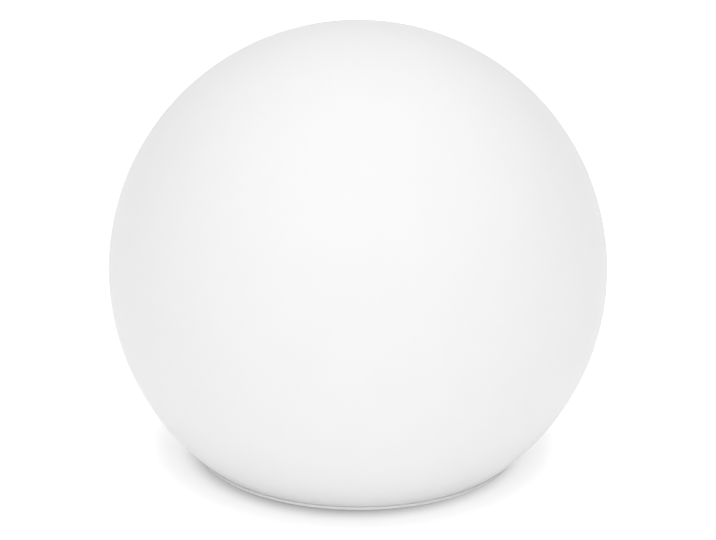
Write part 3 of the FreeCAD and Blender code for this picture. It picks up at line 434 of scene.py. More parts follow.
opal = skinned("opal_polyethylene", moulded_skin, (0.93, 0.93, 0.93), roughness=0.5,
               depth=0.004, tone=0.006, gloss=0.03, Grain=0.8, Cloud=45,
               Specular_IOR_Level=0.25, Subsurface_Weight=0.2,
               Subsurface_Radius=(1, 1, 1), Subsurface_Scale=4 * MM)
fit(ball, "base", "opal_plastic", "globe_shell", finish=opal)

# ------------------------------------------------------------ the base plate
# Injection-moulded white plastic, with a thin rounded rim that shows below the
# ball. The recess in its middle holds the controls, and its upper side carries
# the posts for the board and for the battery tray.

GROUND_GAP = 0.4
RIM_ROUND = 0.25
RIM_IN = 0.7                            # from the solid's rim in to this finer one
RIM_TOP = 2.1
SPIGOT_GAP = 0.4
PLATE_TOP = 3.4
WELL_RADIUS = 32
WELL_WALL = 2.5
WELL_EDGE = 0.6
WELL_CEILING = 18
GROOVE = (70.62, 73.32)
GROOVE_LOW = 2.2
DIAGONAL = 45
RUNNING_FIT = 0.1
SCREW_SEAT = 0.6
SCREW_HEAD = 1.9                        # these three are shares of a screw's size
HEAD_SIDE = 0.15
HEAD_DEPTH = 1.05
PILOT_DEEPER = 0.2
STANDOFF_RADIUS = 3
POST_RADIUS = 3.5
POST_ROOT = 0.3
COLLAR = (7.5, 9)
COLLAR_TOP = 22.5
BUTTON = (-14, 0)
BUTTON_RADIUS = 6
PORT = (14, 0)
PORT_HOLE = 5.3
LIGHT = (0, -18)
LIGHT_RADIUS = 1.5
THROUGH = (10, 25)                      # from below the well's ceiling to above it
PAST = 1                                # a cutter reaches this far past what it cuts
PAD_RADIUS = 5
PAD_HIGH = 1.4
PAD_EDGE = 14.4
HINGE_RADIUS = 1.75
HINGE_REACH = 8
LUG_NEAR = 4.3

rim = span("base_plate")[1].x - RIM_IN
spigot_radius = cut_radius - LIP_LAND - SPIGOT_GAP
foot_ring = cut_radius - PAD_EDGE
well_outside = WELL_RADIUS + WELL_WALL
ceiling_top = WELL_CEILING + WELL_WALL
inside_ceiling = (WELL_CEILING + ceiling_top) / 2
board_low = span("control_board")[0].z
tray_low = span("battery_tray")[0].z
hinge_low, hinge_high = span("cover_pin")
hinge = (hinge_low + hinge_high) / 2
pin_radius = hinge_high.z - hinge.z

# Each ring of screws: its radius, first angle, count, and the screws' size and length.
SCREW_RINGS = {
    "base_screws": (ball_screw_ring, 0, BALL_SCREW_COUNT, BALL_SCREW, 14),
    "housing_screws": (55.5, DIAGONAL, 4, 1.5, 10),
    "board_screws": (26, DIAGONAL, 4, 1.25, 8),
    "tray_screws": (43, 90, 2, 1.5, 10),
    "led_board_screws": (43.8, DIAGONAL, 4, 1.5, 10)}

outline = [(0, WELL_CEILING)]
outline += arc((WELL_RADIUS - WELL_EDGE, WELL_CEILING - WELL_EDGE), WELL_EDGE, 90, 0)
outline += arc((WELL_RADIUS + WELL_EDGE, GROUND_GAP + WELL_EDGE), WELL_EDGE, 180, 270)
outline += arc((rim - RIM_ROUND, GROUND_GAP + RIM_ROUND), RIM_ROUND, -90, 0)
outline += arc((rim - RIM_ROUND, RIM_TOP - RIM_ROUND), RIM_ROUND, 0, 90)
outline += [(spigot_radius, RIM_TOP), (spigot_radius, PLATE_TOP),
            (GROOVE[1], PLATE_TOP), (GROOVE[1], GROOVE_LOW), (GROOVE[0], GROOVE_LOW),
            (GROOVE[0], PLATE_TOP), (well_outside, PLATE_TOP),
            (well_outside, ceiling_top), (0, ceiling_top)]
plate = lathe("base", outline, steps=BALL_STEPS)


def slab(name, low, high):
    """A block between two corners, in millimetres."""
    bpy.ops.object.select_all(action="DESELECT")
    low, high = Vector(low) * MM, Vector(high) * MM
    bpy.ops.mesh.primitive_cube_add(size=1, location=(low + high) / 2,
                                    scale=high - low)
    piece = bpy.context.object
    piece.name = name
    bpy.ops.object.transform_apply(location=True, rotation=True, scale=True)
    return piece


def joined(first, *others):
    """Several pieces as one."""
    active(first)
    for other in others:
        other.select_set(True)
    bpy.ops.object.join()
    return first


def on_hinge(piece):
    """Lay an upright piece along the cover's hinge."""
    return placed(piece, (-90, 0, 0), (hinge.x, 0, hinge.z))


def post(name, radius, low, high):
    """The posts that a ring of screws goes into."""
    ring, turn, count = SCREW_RINGS[name][:3]
    return ring_of(tube("post", (ring, 0), 0, radius, low, high), count, turn)


def countersink(name):
    """The holes that a ring of countersunk screws passes from below."""
    ring, turn, count, size = SCREW_RINGS[name][:4]
    head = SCREW_HEAD * size + SCREW_ROOM
    shank = size + SCREW_ROOM
    hole = lathe("countersink", [
        (0, -PAST), (head, -PAST), (head, SCREW_SEAT + HEAD_SIDE * size),
        (shank, SCREW_SEAT + HEAD_DEPTH * size), (shank, PLATE_TOP + PAST),
        (0, PLATE_TOP + PAST)], at=(ring, 0), steps=32)
    return ring_of(hole, count, turn)


def pilot(name, top):
    """The blind holes that a ring of screws grips, a little deeper than they reach."""
    size = SCREW_RINGS[name][3]
    return post(name, size + GRIP, span(name)[0].z - PILOT_DEEPER, top + PAST)


additions = [post("board_screws", STANDOFF_RADIUS, inside_ceiling, board_low),
             post("tray_screws", POST_RADIUS, PLATE_TOP - POST_ROOT, tray_low),
             tube("collar", BUTTON, *COLLAR, inside_ceiling, COLLAR_TOP)]
for side in (-1, 1):
    near, far = sorted((side * LUG_NEAR, side * hinge_high.y))
    additions += [
        slab("lug", (hinge.x - HINGE_RADIUS, near, hinge.z),
             (hinge.x + HINGE_RADIUS, far, inside_ceiling)),
        on_hinge(tube("nose", (0, 0), 0, HINGE_RADIUS, near, far, 32))]
for addition in additions:
    combined(plate, addition, "UNION")
pocket = tube("pocket", (foot_ring, 0), 0, PAD_RADIUS + RUNNING_FIT, -PAST, PAD_HIGH)
cutters = [
    countersink("base_screws"),
    countersink("housing_screws"),
    ring_of(pocket, 4, DIAGONAL),
    pilot("board_screws", board_low),
    pilot("tray_screws", tray_low),
    tube("hole", BUTTON, 0, BUTTON_RADIUS + RUNNING_FIT, *THROUGH, 64),
    tube("hole", LIGHT, 0, LIGHT_RADIUS + GRIP, *THROUGH),
    tube("hole", PORT, 0, PORT_HOLE, *THROUGH, 64),
    on_hinge(tube("hole", (0, 0), 0, pin_radius + GRIP, -HINGE_REACH, HINGE_REACH, 32))]
combined(plate, joined(*cutters), "DIFFERENCE")
moulded_white = skinned("moulded_white", moulded_skin, (0.84, 0.84, 0.84),
                        roughness=0.42, depth=0.006, tone=0.01, Grain=0.35, Cloud=25)
fit(plate, "base", "base_plastic", "base_plate", finish=moulded_white)

# --------------------------------------------------------------- the foot pads
# Four silicone pads, pressed into pockets in the base plate. Each has a
# chamfered edge, a ring groove and a dimple in its face, which keep it from
# slipping.

PAD_CHAMFER = 0.4
PAD_GROOVE = 0.25
PAD_ROUND = 0.08

pad = lathe("foot_pad", [
    (0, PAD_GROOVE), (1.2, PAD_GROOVE), (1.5, 0), (2.6, 0), (2.8, PAD_GROOVE),
    (3.2, PAD_GROOVE), (3.4, 0), (PAD_RADIUS - PAD_CHAMFER, 0),
    (PAD_RADIUS, PAD_CHAMFER), (PAD_RADIUS, PAD_HIGH), (0, PAD_HIGH)],
    at=(foot_ring, 0), steps=64)
pads = ring_of(bevelled(pad, PAD_ROUND), 4, DIAGONAL)
fit(pads, "base", "foot_rubber", "foot_pads", finish=skinned(
    "foot_silicone", moulded_skin, (0.55, 0.56, 0.57), roughness=0.75, depth=0.01,
    tone=0.05, Grain=0.2, Cloud=3))

# ----------------------------------------------------- the gasket and inserts
# A moulded silicone ring lies in the plate's groove and seals it against the
# ball's flange. The brass inserts are knurled, and pressed into the bosses.

GASKET_SHOULDER = 3
GASKET_CHAMFER = 0.82
GASKET_ROUND = 0.15
GASKET_STEPS = 144

near, far = GROOVE[0] + RUNNING_FIT, GROOVE[1] - RUNNING_FIT
gasket = lathe("base_gasket", [
    (near, GROOVE_LOW), (far, GROOVE_LOW), (far, GASKET_SHOULDER),
    (far - GASKET_CHAMFER, flange_low), (near + GASKET_CHAMFER, flange_low),
    (near, GASKET_SHOULDER)], steps=GASKET_STEPS)
seal_silicone = skinned("seal_silicone", moulded_skin, (0.32, 0.33, 0.34),
                        roughness=0.6, depth=0.006, tone=0.05, Grain=0.3, Cloud=5)
fit(bevelled(gasket, GASKET_ROUND), "base", "seal_rubber", "base_gasket",
    finish=seal_silicone)

INSERT_RISE = 0.2
INSERT_BORE = BALL_SCREW + GRIP
INSERT_NECK = 2.5
INSERT_MOUTH = 2.3
INSERT_EDGE = 0.3
INSERT_STEPS = 36
KNURL = 0.12

foot = flange_low + INSERT_RISE
insert = lathe("insert", [
    (INSERT_BORE, foot + INSERT_EDGE), (INSERT_MOUTH, foot), (INSERT_NECK, foot),
    (INSERT_NECK, foot + 0.6), (INSERT_RADIUS, foot + 0.9), (INSERT_RADIUS, foot + 3.2),
    (INSERT_NECK, foot + 3.5), (INSERT_NECK, foot + 4.3), (INSERT_RADIUS, foot + 4.6),
    (INSERT_RADIUS, foot + 7.2), (INSERT_NECK, INSERT_TOP), (INSERT_MOUTH, INSERT_TOP),
    (INSERT_BORE, INSERT_TOP - INSERT_EDGE)], steps=INSERT_STEPS)


def picked(piece, test):
    """Open a piece in edit mode, with the corners that pass a test selected."""
    opened(piece)
    bpy.ops.mesh.select_all(action="DESELECT")
    bpy.ops.object.mode_set(mode="OBJECT")
    for corner in piece.data.vertices:
        corner.select = test(corner)
    bpy.ops.object.mode_set(mode="EDIT")


def on_tooth_gap(corner):
    """Whether a corner of the insert lies between two teeth of its knurl."""
    tooth = round(math.atan2(corner.co.y, corner.co.x) / (2 * math.pi) * INSERT_STEPS)
    return tooth % 2 == 0 and corner.co.to_2d().length > (INSERT_RADIUS - KNURL) * MM


picked(insert, on_tooth_gap)
tooth_gap = 1 - KNURL / INSERT_RADIUS
bpy.ops.transform.resize(value=(tooth_gap, tooth_gap, 1), center_override=(0, 0, 0))
bpy.ops.object.mode_set(mode="OBJECT")
inserts = ring_of(placed(insert, to=(ball_screw_ring, 0, 0)), BALL_SCREW_COUNT)

drawn_lines, given, wanted = new_group(
    "drawn_lines", {"Line": 0.15, "Across": 1, "Along": 0.05}, ["Height", "Shade"])
squeeze = node(drawn_lines, "CombineXYZ", given["Along"], given["Across"],
               given["Across"]).outputs[0]
place = node(drawn_lines, "TexCoord").outputs["Object"]
place = vectors(drawn_lines, "MULTIPLY", place, squeeze)["Vector"]
lines = noise(drawn_lines, given["Line"], place, detail=3)
drawn_lines.links.new(lines, wanted["Height"])
drawn_lines.links.new(ramp(drawn_lines, lines, *CLOUD_SPAN, 0, 1), wanted["Shade"])


def metal(name, colour, roughness, line=0.15, along=0.05, depth=0.002):
    """A bare metal with fine lines drawn along it."""
    return skinned(name, drawn_lines, colour, roughness, depth, tone=0.08, gloss=0.08,
                   Line=line, Along=along, Metallic=1)


fit(inserts, "base", "brass", "shell_inserts",
    finish=metal("turned_brass", (0.78, 0.6, 0.3), roughness=0.3))

# ---------------------------------------------------------------- the screws
# Stainless hexagon-socket screws. The countersunk ones hold the plate to the
# ball and to the module, and the pan heads hold the boards and the tray.

# These are shares of a screw's size.
PAN_HEIGHT = 1.2
PAN_SIDE = 0.8
PAN_TOP = 1.5
THREAD_DEPTH = 0.14
THREAD_PITCH = 0.35
THREAD_START = 1.6
THREAD_LESS = 2.2                       # how much shorter the thread is than the screw
TIP = 0.4
TIP_RADIUS = 0.6
KEY_RADIUS = 0.85
KEY_DEPTH = 0.9

# And these are shares of the thread's pitch, on from the middle of a ridge.
RIDGE = (-0.15, 0.05)
ROOT = 0.45


def screw(name, at, size, length, seat, upward):
    """One screw, with its thread as a row of ridges and its socket cut in."""
    way = 1 if upward else -1
    tip = seat + way * length
    head = SCREW_HEAD * size
    if upward:
        outline = [(0, seat), (head, seat), (head, seat + HEAD_SIDE * size),
                   (size, seat + HEAD_DEPTH * size)]
    else:
        top = seat + PAN_HEIGHT * size
        outline = [(0, top), (PAN_TOP * size, top), (head, seat + PAN_SIDE * size),
                   (head, seat), (size, seat)]
    pitch = THREAD_PITCH * size
    start = seat + way * THREAD_START * size
    for k in range(int((length - THREAD_LESS * size) / pitch)):
        middle = start + way * (k + 0.5) * pitch
        outline += [(size, middle + way * RIDGE[0] * pitch),
                    (size, middle + way * RIDGE[1] * pitch),
                    (size * (1 - THREAD_DEPTH), middle + way * ROOT * pitch)]
    outline += [(size, tip - way * TIP * size), (TIP_RADIUS * size, tip), (0, tip)]
    made = lathe(name, outline, at=at, steps=32)
    if upward:
        low, high = seat - PAST, seat + KEY_DEPTH * size
    else:
        low, high = top - KEY_DEPTH * size, top + PAST
    key = tube("key", at, 0, KEY_RADIUS * size, low, high, 6)
    return combined(made, key, "DIFFERENCE")


stainless = metal("stainless_steel", (0.62, 0.62, 0.61), roughness=0.28, along=1)
for name, (ring, turn, count, size, length) in SCREW_RINGS.items():
    low, high = span(name)
    upward = name in ("base_screws", "housing_screws")
    seat = low.z if upward else high.z - PAN_HEIGHT * size
    screws = screw(name, (ring, 0), size, length, seat, upward)
    fit(ring_of(screws, count, turn), "base", "screw_steel", name, finish=stainless)

# --------------------------------------------------------- the charging socket
# A round low-voltage jack in black plastic, with a nickel centre pin. A soft
# lip seal closes the ring between it and the hole in the base plate.

JACK_RADIUS = 5.5
JACK_EDGE = 0.3
JACK_REST = 0.05                        # from the plate up to its shoulder
NOSE_RADIUS = 4.4
JACK_BORE = 3.1
JACK_BORE_TOP = 20.2
JACK_BACK = 2.8
PIN_TIP = 0.5

pin_low, pin_high = span("socket_pin")
jack_top = span("charge_socket")[1].z
jack = lathe("charge_socket", [
    (0, jack_top), (JACK_RADIUS - JACK_EDGE, jack_top),
    (JACK_RADIUS, jack_top - JACK_EDGE), (JACK_RADIUS, ceiling_top + JACK_REST),
    (NOSE_RADIUS, ceiling_top + JACK_REST), (NOSE_RADIUS, WELL_CEILING + JACK_EDGE),
    (NOSE_RADIUS - JACK_EDGE, WELL_CEILING), (JACK_BORE + JACK_EDGE, WELL_CEILING),
    (JACK_BORE, WELL_CEILING + JACK_EDGE), (JACK_BORE, JACK_BORE_TOP),
    (JACK_BACK, JACK_BORE_TOP + JACK_EDGE), (JACK_BACK, pin_high.z), (0, pin_high.z)],
    at=PORT, steps=64)
moulded_black = skinned("moulded_black", moulded_skin, (0.06, 0.06, 0.065),
                        roughness=0.45, depth=0.006, tone=0.15, Grain=0.25, Cloud=4)
fit(jack, "base", "switch_plastic", "charge_socket", finish=moulded_black)

pin_size = (pin_high.x - pin_low.x) / 2
pin = lathe("socket_pin", [(0, pin_low.z)]
            + arc((pin_size - PIN_TIP, pin_low.z + PIN_TIP), PIN_TIP, -90, 0)
            + [(pin_size, pin_high.z), (0, pin_high.z)], at=PORT)
nickel = metal("plated_nickel", (0.7, 0.68, 0.62), roughness=0.22, line=0.1)
fit(pin, "base", "contact_nickel", "socket_pin", finish=nickel)

near, far = NOSE_RADIUS + GRIP, PORT_HOLE - GRIP
lip_seal = lathe("socket_seal", [
    (near, 18.2), (4.6, 18.05), (4.85, 18.3), (5.1, 18.05), (far, 18.2), (far, 18.9),
    (5.15, 19.3), (far, 19.7), (far, ceiling_top), (near, ceiling_top)],
    at=PORT, steps=64)
fit(lip_seal, "base", "seal_rubber", "socket_seal", finish=seal_silicone)

# ------------------------------------------------------------ the socket cover
# A stiff grey flap that swings down on a steel pin. A silicone face and plug
# are pressed into it, and three ribs on its tab give the fingertip a hold.

COVER_RADIUS = 5.6
COVER_FACES = (2.8, 1.2)                # the lower and the upper, below the ceiling
COVER_ROUND = 0.5
COVER_EDGE = 0.35
COVER_WIDTH = 8
KNUCKLE_EDGE = 0.2
TAB_LOWER = 0.5
RIB_RADIUS = 0.28
RIB_LENGTH = 2.6
RIB_SINK = 0.12
RIB_START = 0.7
RIB_PITCH = 0.75
RIB_ROUND = 0.1
FLAT = 0.05                             # faces this many degrees apart are one


def rod(name, radius, low, high, edges, at=(0, 0), steps=32):
    """An upright rod with a chamfer at its foot and another at its top."""
    foot, top = edges
    return lathe(name, [(0, low), (radius - foot, low), (radius, low + foot),
                        (radius, high - top), (radius - top, high), (0, high)],
                 at=at, steps=steps)


cover_low = span("port_cover")[0]
face_low, face_high = [WELL_CEILING - depth for depth in COVER_FACES]
flap = lathe("port_cover", [(0, face_low)]
             + arc((COVER_RADIUS - COVER_ROUND, face_low + COVER_ROUND), COVER_ROUND,
                   -90, 0, 4)
             + [(COVER_RADIUS, face_high), (0, face_high)],
             at=PORT, steps=96)
arm = slab("arm", (PORT[0], -COVER_WIDTH / 2, face_low),
           (hinge.x, COVER_WIDTH / 2, face_high))
tab = slab("tab", (cover_low.x, -COVER_WIDTH / 4, face_low),
           (PORT[0], COVER_WIDTH / 4, face_high - TAB_LOWER))
knuckle = rod("knuckle", HINGE_RADIUS, -COVER_WIDTH / 2, COVER_WIDTH / 2,
              (KNUCKLE_EDGE, KNUCKLE_EDGE), steps=48)
for addition in (bevelled(arm, COVER_EDGE, 3), bevelled(tab, COVER_EDGE, 3),
                 on_hinge(knuckle)):
    combined(flap, addition, "UNION")
bore = tube("bore", (0, 0), 0, pin_radius + RUNNING_FIT, -HINGE_REACH, HINGE_REACH, 32)
combined(flap, on_hinge(bore), "DIFFERENCE")
for k in range(3):
    rib = tube("rib", (0, 0), 0, RIB_RADIUS, -RIB_LENGTH / 2, RIB_LENGTH / 2, 16)
    placed(bevelled(rib, RIB_ROUND), (-90, 0, 0),
           (cover_low.x + RIB_START + RIB_PITCH * k, 0, face_low + RIB_SINK))
    combined(flap, rib, "UNION")
opened(flap)
bpy.ops.mesh.dissolve_limited(angle_limit=math.radians(FLAT))
bpy.ops.object.mode_set(mode="OBJECT")


def held_grey(name, grey, roughness):
    """A moulded plastic that fingertips touch, a little polished in patches."""
    return skinned(name, moulded_skin, grey, roughness, depth=0.006, gloss=0.1,
                   Grain=0.25, Cloud=4)


fit(flap, "port_cover", "cover_plastic", "port_cover",
    finish=held_grey("cover_grey", (0.62, 0.63, 0.64), 0.5))

SEAL_RADIUS = 5
SEAL_EDGE = 0.2
SEAL_THICK = 1
PLUG_RADIUS = 2.6

seal_top = face_high + SEAL_THICK
plug_top = span("cover_seal")[1].z
plug = lathe("cover_seal", [
    (0, face_high), (SEAL_RADIUS, face_high), (SEAL_RADIUS, seal_top - SEAL_EDGE),
    (SEAL_RADIUS - SEAL_EDGE, seal_top), (PLUG_RADIUS, seal_top),
    (PLUG_RADIUS - SEAL_EDGE, seal_top + 0.25), (PLUG_RADIUS, seal_top + 0.55),
    (PLUG_RADIUS, seal_top + 0.75), (PLUG_RADIUS - 0.25, seal_top + 0.95),
    (PLUG_RADIUS - 0.5, plug_top), (0, plug_top)], at=PORT, steps=64)
fit(plug, "port_cover", "seal_rubber", "cover_seal", finish=seal_silicone)

HINGE_PIN_END = 0.6
HINGE_PIN_EDGE = 0.2

low, high = hinge_low.y, hinge_high.y
hinge_pin = lathe("cover_pin", [
    (0, low), (HINGE_PIN_END, low), (pin_radius, low + HINGE_PIN_EDGE),
    (pin_radius, high - HINGE_PIN_EDGE), (HINGE_PIN_END, high), (0, high)], steps=32)
fit(on_hinge(hinge_pin), "base", "screw_steel", "cover_pin", finish=stainless)

# ------------------------------------------------------- the button and switch
# The light's one button is a dished grey cap with a flange behind the plate. A
# black stem carries its stroke to a push switch on the control board.

BUTTON_EDGE = 0.4
DISH = 0.45
DISH_RADIUS = 4.8
DISH_LAND = 5
FLANGE_RADIUS = 7.2
FLANGE_GAP = 0.2
FLANGE_DEPTH = 1
BUTTON_POST = 2.2
MARK_RADIUS = 1.9
MARK_WIDTH = 0.4
MARK_PROUD = 0.14                       # over the dish's middle
MARK_SLOPE = (0.07, 0.1)                # and more at its inside and its outside
MARK_ROOT = 0.8
MARK_ROUND = 0.06
MARK_GAP = 70
BAR_SLOPE = 0.08
BAR_START = 0.7
BAR_PAST = 0.9                          # the bar runs this far past the ring's inside

button_low, button_high = span("power_button")
button_face = button_low.z
behind = ceiling_top + FLANGE_GAP
curve = (DISH_RADIUS ** 2 + DISH ** 2) / (2 * DISH)
dish = [(r, button_face + DISH - curve + math.sqrt(curve ** 2 - r ** 2))
        for r in (0, 0.8, 1.6, 2.4, 3.2, 4, 4.5)]
cap = lathe("power_button", dish + [(DISH_LAND, button_face)]
            + arc((BUTTON_RADIUS - BUTTON_EDGE, button_face + BUTTON_EDGE), BUTTON_EDGE,
                  -90, 0)
            + [(BUTTON_RADIUS, behind), (FLANGE_RADIUS, behind),
               (FLANGE_RADIUS, behind + FLANGE_DEPTH),
               (BUTTON_POST, behind + FLANGE_DEPTH),
               (BUTTON_POST, button_high.z), (0, button_high.z)],
            at=BUTTON, steps=96)
mark_face = button_face + DISH - MARK_PROUD
mark_root = button_face + MARK_ROOT
mark = lathe("button_mark", [
    (MARK_RADIUS, mark_face - MARK_SLOPE[0]),
    (MARK_RADIUS + MARK_WIDTH, mark_face - MARK_SLOPE[1]),
    (MARK_RADIUS + MARK_WIDTH, mark_root), (MARK_RADIUS, mark_root)],
    steps=40, sweep=360 - MARK_GAP)
placed(mark, (0, 0, 90 - MARK_GAP / 2), (*BUTTON, 0))
bar = slab("bar", (BUTTON[0] - MARK_WIDTH / 2, BAR_START, mark_face - BAR_SLOPE),
           (BUTTON[0] + MARK_WIDTH / 2, MARK_RADIUS + BAR_PAST, mark_root))
bevelled(joined(mark, bar), MARK_ROUND)
fit(cap, "power_button", "button_plastic", "power_button",
    finish=held_grey("button_grey", (0.72, 0.73, 0.74), 0.42))
fit(mark, "power_button", "button_plastic",
    finish=held_grey("mark_grey", (0.3, 0.31, 0.32), 0.4))

STEM_RADIUS = 1.7
STEM_EDGES = (0.2, 0.3)                 # at its foot and at its top

stem_low, stem_high = span("switch_stem")
stem = rod("switch_stem", STEM_RADIUS, stem_low.z, stem_high.z, STEM_EDGES, at=BUTTON)
fit(stem, "power_button", "switch_plastic", "switch_stem", finish=moulded_black)

SWITCH_EDGE = 0.4
SWITCH_BORE = 1.8
STEM_TRAVEL = 1.5                       # the room over the stem, with some to spare
FRAME_EDGE = Vector((0.25, 0.25, 0))
FRAME_HALF = Vector((0, 0, 0.15))
FRAME_ROUND = 0.1
FRAME_BORE = 2
RIVET_PLACE = 2.6
RIVET_RADIUS = 0.45
RIVET = (-0.3, 0.5)                     # from below the switch's face up into it

switch_low, switch_high = span("push_switch")
switch = bevelled(slab("push_switch", switch_low, switch_high), SWITCH_EDGE)
combined(switch, tube("bore", BUTTON, 0, SWITCH_BORE, switch_low.z - PAST,
                      stem_high.z + STEM_TRAVEL, 32), "DIFFERENCE")
fit(switch, "base", "switch_plastic", "push_switch", finish=moulded_black)
face = Vector((switch_high.x, switch_high.y, switch_low.z))
switch_frame = bevelled(slab("switch_frame", switch_low + FRAME_EDGE - FRAME_HALF,
                             face - FRAME_EDGE + FRAME_HALF), FRAME_ROUND)
combined(switch_frame, tube("bore", BUTTON, 0, FRAME_BORE, switch_low.z - PAST,
                            switch_low.z + PAST, 32), "DIFFERENCE")
for x in (-RIVET_PLACE, RIVET_PLACE):
    for y in (-RIVET_PLACE, RIVET_PLACE):
        rivet = tube("rivet", (BUTTON[0] + x, y), 0, RIVET_RADIUS,
                     switch_low.z + RIVET[0], switch_low.z + RIVET[1], 16)
        combined(switch_frame, rivet, "UNION")
fit(switch_frame, "base", "contact_nickel", finish=nickel)

# ------------------------------------------------------------ the charging light
# A polished clear rod carries the light of a small diode on the control board
# down through the plate. A collar on it rests on the plate's upper side.

LIGHT_LENS = 3
LIGHT_COLLAR = 2.4
LIGHT_COLLAR_THICK = 1
LIGHT_TOP_EDGE = 0.15
DIODE_ROUND = 0.12
LENS_DEPTH = 0.15
LENS_SLOPE = (-0.15, 0.05)              # of its wall, from its bottom to past the face
STATUS_LENS = 0.6
LEVEL = 0.05                            # faces this near a height are at it

pipe_low, pipe_high = span("light_pipe")
collar_top = ceiling_top + LIGHT_COLLAR_THICK
pipe = lathe("light_pipe", arc((0, pipe_low.z + LIGHT_LENS), LIGHT_LENS, -90, -65)
             + [(LIGHT_RADIUS, pipe_low.z + 0.5), (LIGHT_RADIUS, ceiling_top),
                (LIGHT_COLLAR, ceiling_top), (LIGHT_COLLAR, collar_top),
                (LIGHT_RADIUS, collar_top),
                (LIGHT_RADIUS, pipe_high.z - LIGHT_TOP_EDGE),
                (LIGHT_RADIUS - LIGHT_TOP_EDGE, pipe_high.z), (0, pipe_high.z)],
             at=LIGHT)
fit(pipe, "base", "clear_plastic", "light_pipe", finish=skinned(
    "clear_acrylic", moulded_skin, (0.92, 0.94, 0.95), roughness=0.08, depth=0.001,
    tone=0.01, gloss=0.03, Grain=1.5, Cloud=3, Transmission_Weight=0.9, IOR=1.49))


def painted(piece, first, *others):
    """Give a piece one material all over, and others where they are due.

    Each other one comes with a test of a face's middle and normal.
    """
    piece.data.materials.append(first)
    for index, (material, test) in enumerate(others, start=1):
        piece.data.materials.append(material)
        for face in piece.data.polygons:
            if test(face.center / MM, face.normal):
                face.material_index = index
    return piece


led_white = skinned("led_white", moulded_skin, (0.88, 0.88, 0.87), roughness=0.5,
                    depth=0.004, tone=0.01, Grain=0.3, Cloud=3)
phosphor = skinned("led_phosphor", moulded_skin, (0.92, 0.72, 0.2), roughness=0.35,
                   depth=0.01, tone=0.06, Grain=0.12, Cloud=1, Coat_Weight=0.6)


def bottom_at(height, way=1):
    """A test for the faces at a height that face up, or down where way is -1."""
    return lambda at, out: way * out.z > 0.9 and abs(at.z - height) < LEVEL


def diode(name, low, high, way, lens):
    """A white package that faces up or down, with a round well for phosphor."""
    low, high = Vector(low), Vector(high)
    face = high.z if way > 0 else low.z
    bottom, past = face - way * LENS_DEPTH, face + way * 0.1
    well = lathe("well", [(0, bottom), (lens + LENS_SLOPE[0], bottom),
                          (lens + LENS_SLOPE[1], past), (0, past)],
                 at=((low + high) / 2).to_2d(), steps=32)
    made = combined(bevelled(slab(name, low, high), DIODE_ROUND), well, "DIFFERENCE")
    return painted(made, led_white, (phosphor, bottom_at(bottom, way)))


status = diode("status_led", *span("status_led"), -1, STATUS_LENS)
fit(status, "base", "led_phosphor", "status_led")

# ------------------------------------------------------------- the control board
# Glass-fibre laminate under green solder mask, held by four screws. It charges
# the cells and drives the light. Its copper shows as paler lines in the mask.

BARE_BLOCKS = 0.2                       # the share of the board that has no tracks
TRACK_EDGE = (0.16, 0.2)                # from a track's middle, in pitches
SPOTS = 0.3                             # round pads a millimetre
SPOT_EDGE = (0.1, 0.12)
TIN = (0.75, 0.74, 0.72, 1)

circuit, given, wanted = new_group(
    "circuit", {"Pitch": 1.27, "Block": 8}, ["Height", "Shade", "Pads", "Edge"])
place = node(circuit, "TexCoord").outputs["Object"]
flat = vectors(circuit, "MULTIPLY", place, (1 / MM, 1 / MM, 0))["Vector"]
block = node(circuit, "CombineXYZ", given["Block"], given["Block"], 1).outputs[0]
patch = vectors(circuit, "SNAP", flat, block)["Vector"]
draw = node(circuit, "TexWhiteNoise", patch).outputs["Value"]
axes = node(circuit, "SeparateXYZ", flat).outputs
sideways = maths(circuit, "GREATER_THAN", draw, 0.5)
run = node(circuit, "Mix", sideways, None, axes[0], axes[1], data_type="FLOAT")
within = maths(circuit, "FRACT", maths(circuit, "DIVIDE", run.outputs[0],
                                       given["Pitch"]))
aside = maths(circuit, "ABSOLUTE", maths(circuit, "SUBTRACT", within, 0.5))
tracks = maths(circuit, "MULTIPLY", ramp(circuit, aside, *TRACK_EDGE, 1, 0),
               maths(circuit, "GREATER_THAN", draw, BARE_BLOCKS))
spots = node(circuit, "TexVoronoi", flat, Scale=SPOTS).outputs["Distance"]
facing = node(circuit, "NewGeometry").outputs["Normal"]
upright = maths(circuit, "ABSOLUTE", node(circuit, "SeparateXYZ", facing).outputs[2])
for label, result in (("Height", tracks), ("Shade", tracks),
                      ("Pads", ramp(circuit, spots, *SPOT_EDGE, 1, 0)),
                      ("Edge", maths(circuit, "LESS_THAN", upright, 0.5))):
    circuit.links.new(result, wanted[label])


def board_mask(name, mask, over_copper, core, roughness):
    """Solder mask over copper tracks and round pads, and the board's bare edge."""
    made, tree, shader = new_material(name)
    pattern = node(tree, "Group", node_tree=circuit).outputs
    colour = blend(tree, pattern["Shade"], mask + (1,), over_copper + (1,))
    colour = blend(tree, pattern["Pads"], colour, TIN)
    colour = blend(tree, pattern["Edge"], colour, core + (1,))
    clouds = node(tree, "Group", node_tree=moulded_skin, Grain=0.2, Cloud=6).outputs
    polish = ramp(tree, clouds["Shade"], 0, 1, roughness, roughness + 0.1)
    bump = node(tree, "Bump", Strength=1, Distance=0.03 * MM, Height=pattern["Height"])
    tree.links.new(colour, shader.inputs["Base Color"])
    tree.links.new(pattern["Pads"], shader.inputs["Metallic"])
    tree.links.new(polish, shader.inputs["Roughness"])
    tree.links.new(bump.outputs[0], shader.inputs["Normal"])
    return made


def refinished(material, *names):
    """Give CAD nodes that stay a material."""
    for name in names:
        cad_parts[name].data.materials.clear()
        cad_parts[name].data.materials.append(material)


refinished(board_mask("green_mask", (0.012, 0.13, 0.05), (0.03, 0.24, 0.1),
                      (0.5, 0.47, 0.28), 0.3), "control_board")

